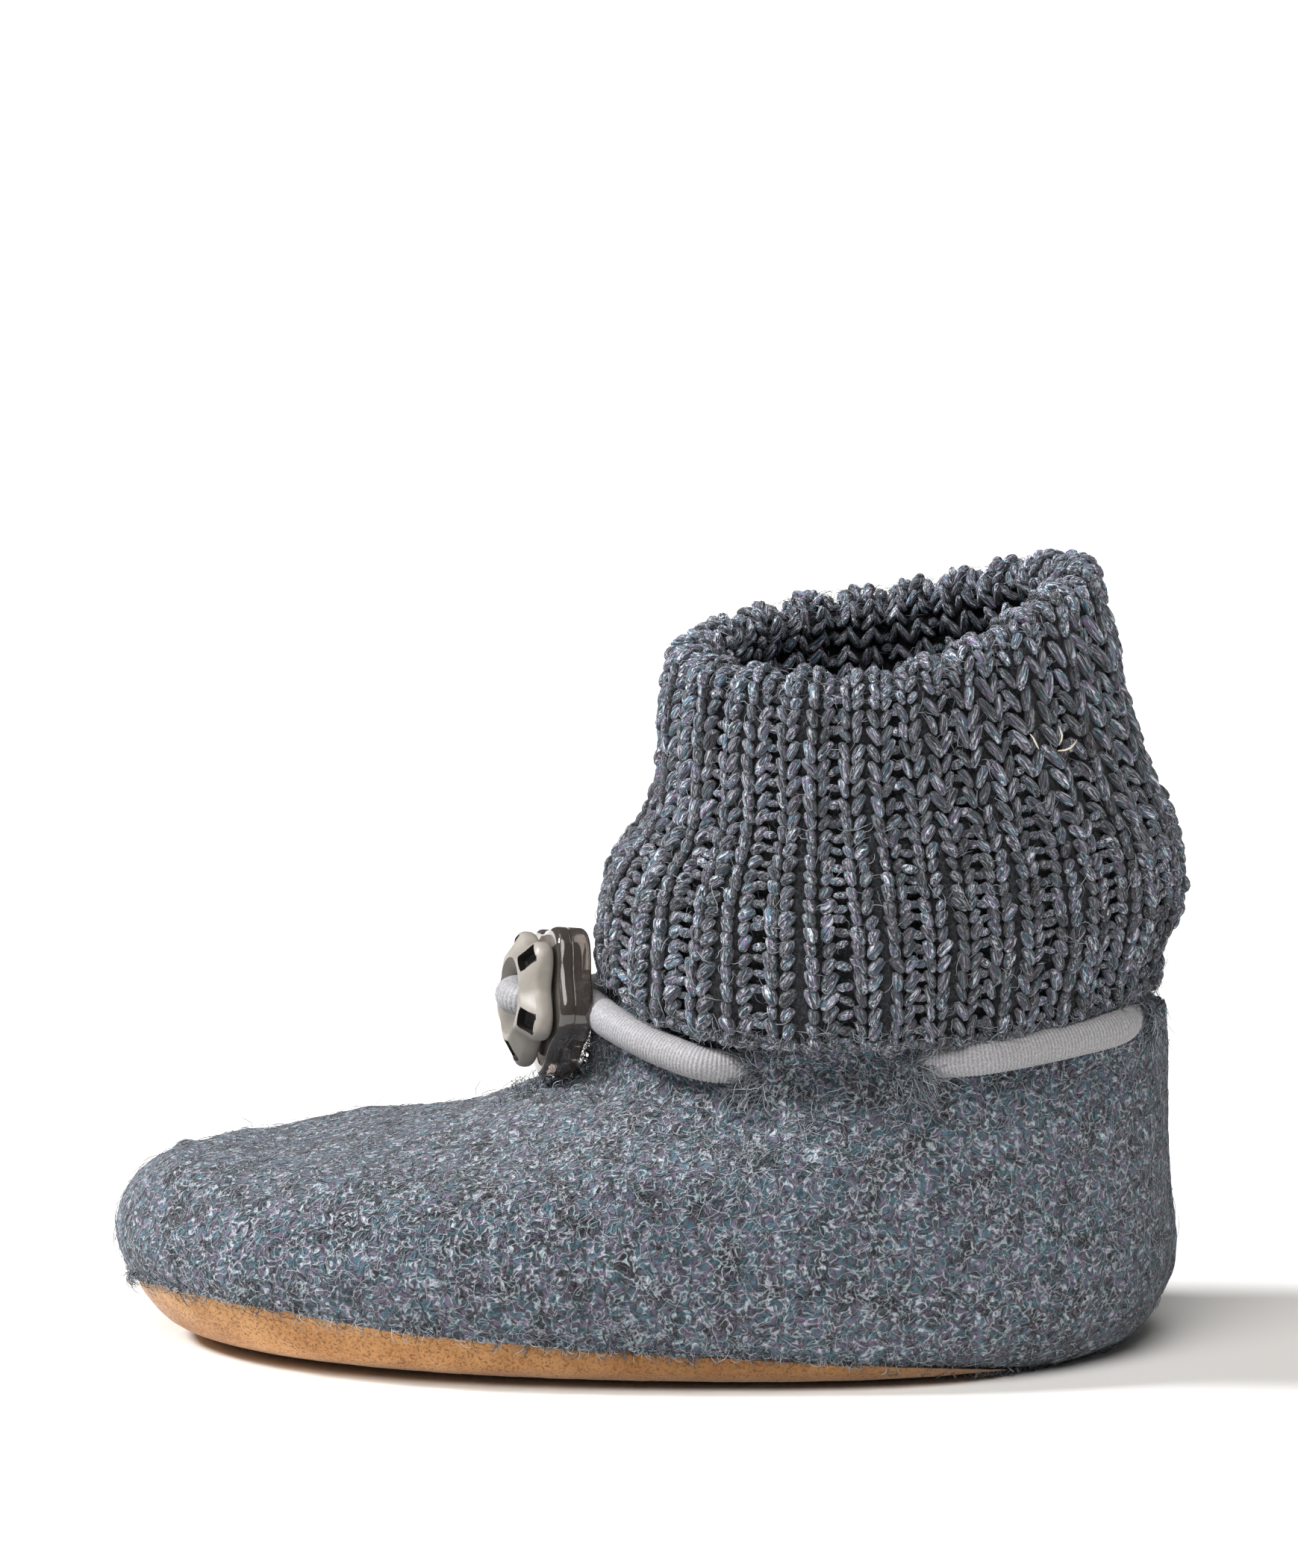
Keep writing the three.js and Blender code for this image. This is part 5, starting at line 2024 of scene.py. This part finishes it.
            shift = hand * width * self.leg_spread + random.normal(0, 0.08, count)
            jog = random.normal(0, 0.1, count)
            bulge = random.normal(0, 0.09, count) - sunk
            spot = spots + across * shift[:, None] + up * jog[:, None] + out * bulge[:, None]
            places.append(frames_from(
                spot,
                wide * (self.leg_width * width / 2)[:, None] * grow,
                face * self.leg_depth * grow,
                tall * (self.leg_length * height / 2)[:, None] * grow,
            ))
        kinds = np.repeat([0, 1], count)
        # Painted light: the tone is raised on the rim, lit from above, and more on the inside rows, to
        # lift them out of their shade.
        tone = np.clip(random.uniform(0, 1, 2 * count) + np.tile(0.5 * rim + 1.3 * inside, 2), 0, 2.4)
        legs = Copies(name, [self.leg(-1), self.leg(1)])
        return legs.build(np.concatenate(places), kinds, tone, self.seed)

    def bars(self) -> bpy.types.Object:
        """The purl bars between the ribs, and the loops along the hem.

        Returns:
            The joined bars.
        """
        random = np.random.default_rng(self.seed + 5)
        rows = self.rows()[: self.rows_outside + self.rows_rim + 4]
        share, along = np.meshgrid(
            np.arange(self.form.ribs) / self.form.ribs, rows, indexing="ij"
        )
        share, along = share.ravel(), along.ravel()
        rim = on_rim(along, 0.75)
        inset = self.bar_inset + 1.3 * rim + random.normal(0, 0.2, len(share))
        pitch = self.pitch(share, along)
        gap = pitch - 2 * np.minimum(self.column_width, self.column_share * pitch)
        half = (0.8 + 0.5 * gap) * random.uniform(0.8, 1.1, len(share))
        along = along + random.normal(0, 0.008, len(share))
        hem_share = (np.arange(self.form.ribs * 6) + 0.5) / (self.form.ribs * 6)
        hem_along = random.uniform(-0.012, 0.02, len(hem_share))
        share, along = np.concatenate([share, hem_share]), np.concatenate([along, hem_along])
        inset = np.concatenate([inset, random.uniform(0.3, 1.1, len(hem_share))])
        half = np.concatenate([half, random.uniform(0.75, 1.15, len(hem_share))])
        spots, across, out, up = self.frames(share, along, inset)
        count = len(share)
        tilt = random.normal(0, 0.24, count)[:, None]
        line = across * np.cos(tilt) + up * np.sin(tilt)
        above = np.cross(line, out)
        spots = spots + across * random.normal(0, 0.12, (count, 1))
        thick = random.uniform(0.45, 0.65, (count, 1))
        frame = frames_from(spots, line * half[:, None], out * thick, above * thick)
        bar = bmesh.new()
        bmesh.ops.create_uvsphere(bar, u_segments=6, v_segments=5, radius=1.0)
        bar.transform(Matrix.Rotation(math.pi / 2, 4, "Y"))
        tone = random.uniform(0.0, 0.9, count)
        return Copies("knit_purls", [bar]).build(frame, np.zeros(count, int), tone, self.seed + 6)

    def loose(self) -> bpy.types.Object:
        """Loose fibres all over the knit, more of them along the hem.

        Returns:
            The joined fibres.
        """
        random = np.random.default_rng(self.seed + 9)
        share = random.uniform(0, 1, self.fibres)
        along = np.where(
            random.uniform(size=self.fibres) < 0.25,
            random.uniform(-0.015, 0.06, self.fibres),
            random.uniform(0.0, 2.4, self.fibres),
        )
        crown = self.rib_inset((share * self.form.ribs) % 1, along)
        rim = on_rim(along, 0.8)
        spots, _, out, _ = self.frames(share, along, crown * 0.9 + 0.15 + 0.5 * rim)
        fuzz = Fuzz("knit_fibres", length=(1.0, 2.8), radius=0.038, lift=0.25)
        return fuzz.build(spots, out, self.seed + 10, 0.008)

    def straws(self) -> bpy.types.Object:
        """The few pale straw hairs caught in the knit near the heel.

        Returns:
            The joined hairs.
        """
        share = np.array([0.368, 0.386, 0.384])
        along = np.array([0.79, 0.785, 0.775])
        spots, across, out, up = self.frames(share, along, -0.25)
        turn = np.array([[2.04], [1.35], [-0.1]])
        heading = across * np.cos(turn) + up * np.sin(turn)
        length = np.array([2.1, 2.2, 3.0])
        return strands(
            "straw_hairs", spots, heading, out, np.cross(out, heading), length, 0.15, 0.4,
            self.seed + 12, bend=0.5,
        )

    def build(self) -> None:
        """Builds the cuff: its ground, its stitches, its bars and its loose fibres."""
        base = new_piece("knit_shade_ground", self.ground())
        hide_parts("knit_cuff")
        rows = self.rows()
        outer = self.rows_outside + self.rows_rim
        self.keep(
            base,
            self.stitches("knit_stitches", rows[:outer]),
            self.stitches("knit_inside", rows[outer:]),
            self.bars(),
            self.loose(),
            self.straws(),
        )

    def dress(self, finishes: Finishes) -> None:
        """Gives the stitches their yarn and the ground under them a dark wool, painted shade between
        the stitches.

        Args:
            finishes: every material of the slipper.
        """
        looks = {name: [finishes.yarn] for name in self.pieces}
        looks["knit_shade_ground"] = [finishes.ground]
        looks["knit_fibres"] = [finishes.hair]
        looks["straw_hairs"] = [finishes.straw]
        self.finish(looks, dict.fromkeys(self.pieces, "knit"))


@dataclass
class Drawcord(Assembly):
    """The ribbed elastic cord and its two-part lock."""

    form: CordForm
    rib_pitch: float = 0.42
    rib_depth: float = 0.1
    sides: int = 20
    steps_per_rib: int = 4
    chunk: int = 4000
    plate_faces: int = 150
    rim_bevel: float = 0.8
    barrel_inset: float = 2.6
    barrel_bevel: float = 0.4
    lobes: int = 5
    base_radius: float = 9.3
    base_scallop: float = 0.75
    cap_radius: float = 8.3
    cap_scallop: float = 1.15
    dish_radius: float = 4.9
    dish_taper: float = 0.6
    pit_size: float = 2.5
    pit_depth: float = 1.5
    pit_radius: float = 6.35
    pit_height: float = 2.9
    bevel: float = 0.9
    calming: float = 1.7
    pit_slope: float = 33.0
    cap_turn: float = -34.0
    base_turn: float = -22.0

    def loop(self) -> bpy.types.Object:
        """The cord, with a fine rib every fraction of a millimetre.

        Returns:
            The cord, with the attribute "rib", 1 on its ribs and 0 between them.
        """
        steps = self.steps_per_rib
        line = self.form.line(self.rib_pitch / steps)
        line = line[: len(line) // steps * steps]
        wave = np.cos(np.arange(len(line)) / steps * TURN)
        radius = self.form.diameter / 2 - self.rib_depth * (1 - wave) / 2
        shape = tube(line, radius, self.sides, closed=True)
        piece = new_piece("elastic_cord", shape)
        middle = line * MM
        co = np.zeros(len(piece.data.vertices) * 3)
        piece.data.vertices.foreach_get("co", co)
        co = co.reshape(-1, 3)
        height = np.zeros(len(co))
        for start in range(0, len(co), self.chunk):
            part = slice(start, start + self.chunk)
            height[part] = np.linalg.norm(co[part, None] - middle[None], axis=2).min(axis=1)
        low = (self.form.diameter / 2 - self.rib_depth) * MM
        rib = piece.data.attributes.new("rib", "FLOAT", "POINT")
        rib.data.foreach_set("value", np.clip((height - low) / (self.rib_depth * MM), 0, 1))
        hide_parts("drawcord")
        return piece

    def plate(
        self, radius: float, scallop: float, profile: np.ndarray, turned: float = 0.0
    ) -> bmesh.types.BMesh:
        """A lobed plate turned through a profile.

        Args:
            radius: its reach at a lobe's tip.
            scallop: how far the outline dips between lobes, halved.
            profile: rows of height in the lock's frame and inset from the outline.
            turned: how many degrees its lobes are turned from the upright.

        Returns:
            The plate, in metres.
        """
        rows = len(profile) - 1
        matrix = np.array(self.form.lock_matrix())

        def place(share: np.ndarray, along: np.ndarray) -> np.ndarray:
            """The sheet's points.

            Args:
                share: shares of its girth.
                along: shares of the way from its first row to its last.

            Returns:
                The points, in metres.
            """
            turn = share * TURN
            height, inset = profile[np.round(along * rows).astype(int)].T
            wave = np.cos(self.lobes * (turn - TURN / 4 - math.radians(turned)))
            dip = scallop * (1 - self.calming * inset / radius)
            reach = radius - dip + dip * wave - inset
            local = np.stack([reach * np.cos(turn), reach * np.sin(turn), height], axis=1)
            return (local @ matrix[:3, :3].T + matrix[:3, 3]) * MM

        return rolled_sheet(self.plate_faces, rows, place, capped=True)

    def rounded(self, back: float, front: float, bevel: float) -> list[tuple[float, float]]:
        """Profile rows of a slab with rounded rims, from its back to its front.

        Args:
            back: the height of its back.
            front: the height of its front.
            bevel: the radius of its rims.

        Returns:
            Rows of height and inset.
        """
        turns = np.linspace(0, TURN / 4, 6)
        rear = [(back + bevel * (1 - math.sin(t)), bevel * (1 - math.cos(t))) for t in turns[::-1]]
        fore = [(front - bevel * (1 - math.sin(t)), bevel * (1 - math.cos(t))) for t in turns]
        return [*rear, *fore]

    def passage(self, spare: float) -> bmesh.types.BMesh:
        """The two strands' way through the lock, a little wider than they are."""
        line = self.form.line(0.8)
        radius = np.full(len(line), self.form.diameter / 2 + spare)
        return tube(line, radius, self.sides, closed=True)

    def in_lock(self, shape: bmesh.types.BMesh) -> bmesh.types.BMesh:
        """A shape in the lock's own millimetres, moved to its place."""
        shape.transform(Matrix.Scale(MM, 4) @ self.form.lock_matrix())
        return shape

    def base(self) -> tuple[bpy.types.Object, bpy.types.Object]:
        """The smoky base with its parting groove, and the dark barrel inside it.

        Returns:
            The base and the barrel.
        """
        half = self.form.base_thickness / 2
        parting, groove = 0.35, 0.16
        rear = self.rounded(-half, parting - groove, self.rim_bevel)
        fore = self.rounded(parting + groove, half, self.rim_bevel)
        profile = np.array([*rear[:7], (parting - groove, 0.0), (parting - groove, 0.28),
                            (parting + groove, 0.28), (parting + groove, 0.0), *fore[6:]])
        shape = self.plate(self.base_radius, self.base_scallop, profile, self.base_turn)
        base = new_piece("lock_base", shape, 40)
        cut_with(base, [self.passage(0.1)], 40)
        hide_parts("cord_lock_base")
        core_half = half - self.rim_bevel
        core = np.array(self.rounded(-core_half, core_half, self.barrel_bevel))
        core_radius = self.base_radius - self.barrel_inset
        barrel = self.plate(core_radius, self.base_scallop, core, self.base_turn)
        core_piece = new_piece("lock_barrel", barrel, 40)
        cut_with(core_piece, [self.passage(0.05)], 40)
        return base, core_piece

    def cap(self) -> bpy.types.Object:
        """The opaque cap: sloping petals with a pit in each, its faces painted dark as shade, round a
        dish.

        Returns:
            The cap.
        """
        back = self.form.base_thickness / 2 + self.form.clearance
        front = back + self.form.cap_thickness
        rear = self.rounded(back, front, self.bevel)[:6]
        slope = [
            (1.3, 0.0), (1.62, 0.06), (1.9, 0.22), (2.12, 0.48), (2.6, 1.2), (3.1, 1.95),
            (3.4, 2.4), (3.58, 2.75), (3.68, 3.1), (3.7, 3.4),
        ]
        profile = np.array([*rear, *((back + rise, inset) for rise, inset in slope)])
        shape = self.plate(self.cap_radius, self.cap_scallop, profile, self.cap_turn)
        cap = new_piece("lock_cap", shape, 40)
        cap.data.materials.append(None)
        cap.data.materials.append(None)
        spare = 1.0
        dish = bmesh.new()
        bmesh.ops.create_cone(
            dish, cap_ends=True, segments=64, radius1=self.dish_radius - self.dish_taper - 0.5,
            radius2=self.dish_radius, depth=self.form.dish_depth + spare,
            matrix=Matrix.Translation((0, 0, front + (spare - self.form.dish_depth) / 2)),
        )
        cutters = [self.in_lock(dish)]
        size = Vector((self.pit_size * 1.1, self.pit_size, self.pit_depth + spare))
        places = []
        for lobe in range(self.lobes):
            turn = TURN / 4 + math.radians(self.cap_turn) + lobe * TURN / self.lobes
            pit = bmesh.new()
            bmesh.ops.create_cube(pit, size=1.0)
            pit.transform(Matrix.Diagonal((*size, 1)))
            bmesh.ops.bevel(
                pit, geom=pit.edges[:], offset=0.4, segments=3, profile=0.5, affect="EDGES",
                material=-1,
            )
            place = (
                Matrix.Rotation(turn, 4, "Z")
                @ Matrix.Translation((self.pit_radius, 0, back + self.pit_height))
                @ Matrix.Rotation(math.radians(self.pit_slope), 4, "Y")
                @ Matrix.Translation((0, 0, (spare - self.pit_depth) / 2))
            )
            pit.transform(place)
            cutters.append(self.in_lock(pit))
            places.append((self.form.lock_matrix() @ place).inverted())
        cutters.append(self.passage(0.1))
        cut_with(cap, cutters, 40)
        # Painted shade: the pits' faces take the dark barrel plastic, so that they read as deep shade.
        for polygon in cap.data.polygons:
            spots = [place @ (polygon.center / MM) for place in places]
            if any(all(abs(s) < 0.51 * width for s, width in zip(spot, size)) for spot in spots):
                polygon.material_index = 1
        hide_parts("cord_lock_cap")
        return cap

    def build(self) -> None:
        """Builds the cord and the two parts of its lock."""
        self.keep(self.loop(), *self.base(), self.cap())

    def dress(self, finishes: Finishes) -> None:
        """Gives the cord its thread and the lock its two plastics.

        Args:
            finishes: every material of the slipper.
        """
        self.finish(
            {
                "elastic_cord": [finishes.cord],
                "lock_base": [finishes.smoky],
                "lock_barrel": [finishes.dark],
                "lock_cap": [finishes.shell, finishes.dark],
            },
            {
                "elastic_cord": "cord", "lock_base": "smoky_plastic",
                "lock_barrel": "smoky_plastic", "lock_cap": "lock_shell",
            },
        )


@dataclass
class Studio:
    """The pale floor, the soft light and the camera at the photo's angle."""

    elevation: float = 11.3
    distance: float = 1.6
    frame_height: float = 182.5
    aim_height: float = 66.3
    sensor: float = 36.0
    room_light: float = 0.1
    floor_half_size: float = 8.0
    floor: bpy.types.Object | None = None

    def camera(self) -> None:
        """Makes the camera, looking at the slipper's outer side from a little above."""
        tilt = math.radians(self.elevation)
        toward = Vector((0, math.cos(tilt), math.sin(tilt)))
        data = bpy.data.cameras.new("camera")
        data.sensor_width = self.sensor
        data.lens = self.sensor * self.distance / (self.frame_height * MM)
        data.clip_start, data.clip_end = 0.05, 20
        camera = linked("camera", data)
        camera.location = Vector((0, 0, self.aim_height * MM)) + toward * self.distance
        camera.rotation_euler = (-toward).to_track_quat("-Z", "Y").to_euler()
        bpy.context.scene.camera = camera

    def lamp(self, name: str, spot: Colour, power: float, spread: float, tint: Colour) -> None:
        """Adds a soft far light that shines on the slipper.

        Args:
            name: its name.
            spot: the side it shines from.
            power: its strength.
            spread: how wide it is seen, in degrees.
            tint: its colour.
        """
        data = bpy.data.lights.new(name, "SUN")
        data.energy = power
        data.color = tint
        data.angle = math.radians(spread)
        lamp = linked(name, data)
        lamp.location = spot
        aim = Vector((0, 0, 0.035)) - Vector(spot)
        lamp.rotation_euler = aim.to_track_quat("-Z", "Y").to_euler()

    def build(self) -> None:
        """Makes the floor and the camera."""
        shape = bmesh.new()
        bmesh.ops.create_grid(shape, x_segments=1, y_segments=1, size=self.floor_half_size)
        self.floor = new_piece("floor", shape)
        self.camera()

    def dress(self) -> None:
        """Makes the floor white and sets the lights and the pale surroundings."""
        material, graph, shader = new_material("white_floor")
        shade = (0.9, 0.895, 0.885, 1.0)
        graph.feed(shader, Base_Color=shade, Roughness=0.9, Specular_IOR_Level=0.1)
        self.floor.data.materials.append(material)
        world = bpy.data.worlds.new("white_room")
        world.use_nodes = True
        background = world.node_tree.nodes["Background"]
        background.inputs["Color"].default_value = (1.0, 0.98, 0.95, 1.0)
        background.inputs["Strength"].default_value = self.room_light
        scene = bpy.context.scene
        scene.world = world
        scene.view_settings.view_transform = "Standard"
        self.lamp("key", (1.0, 0.0, 0.95), 4.2, 12.0, (1.0, 1.0, 1.0))
        self.lamp("fill", (0.13, 0.62, 1.0), 2.5, 46.0, (1.0, 0.975, 0.94))


def main() -> None:
    """Builds the slipper around its frame, dresses it and sets the stage."""
    logging.basicConfig(level=logging.INFO, format="%(name)s: %(message)s")
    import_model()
    studio = Studio()
    studio.build()
    studio.dress()
    last = Last()
    cord = CordForm(last)
    finishes = make_finishes()
    total = 0
    for assembly in (Sole(last), Upper(last, cord), Cuff(CuffForm(last)), Drawcord(cord)):
        assembly.build()
        assembly.dress(finishes)
        for piece in assembly.pieces.values():
            triangles = sum(len(face.vertices) - 2 for face in piece.data.polygons)
            total += triangles
            LOG.info("%s: %d triangles", piece.name, triangles)
    LOG.info("all pieces: %d triangles, cord %.1f mm", total, cord.length())


if __name__ == "__main__":
    main()
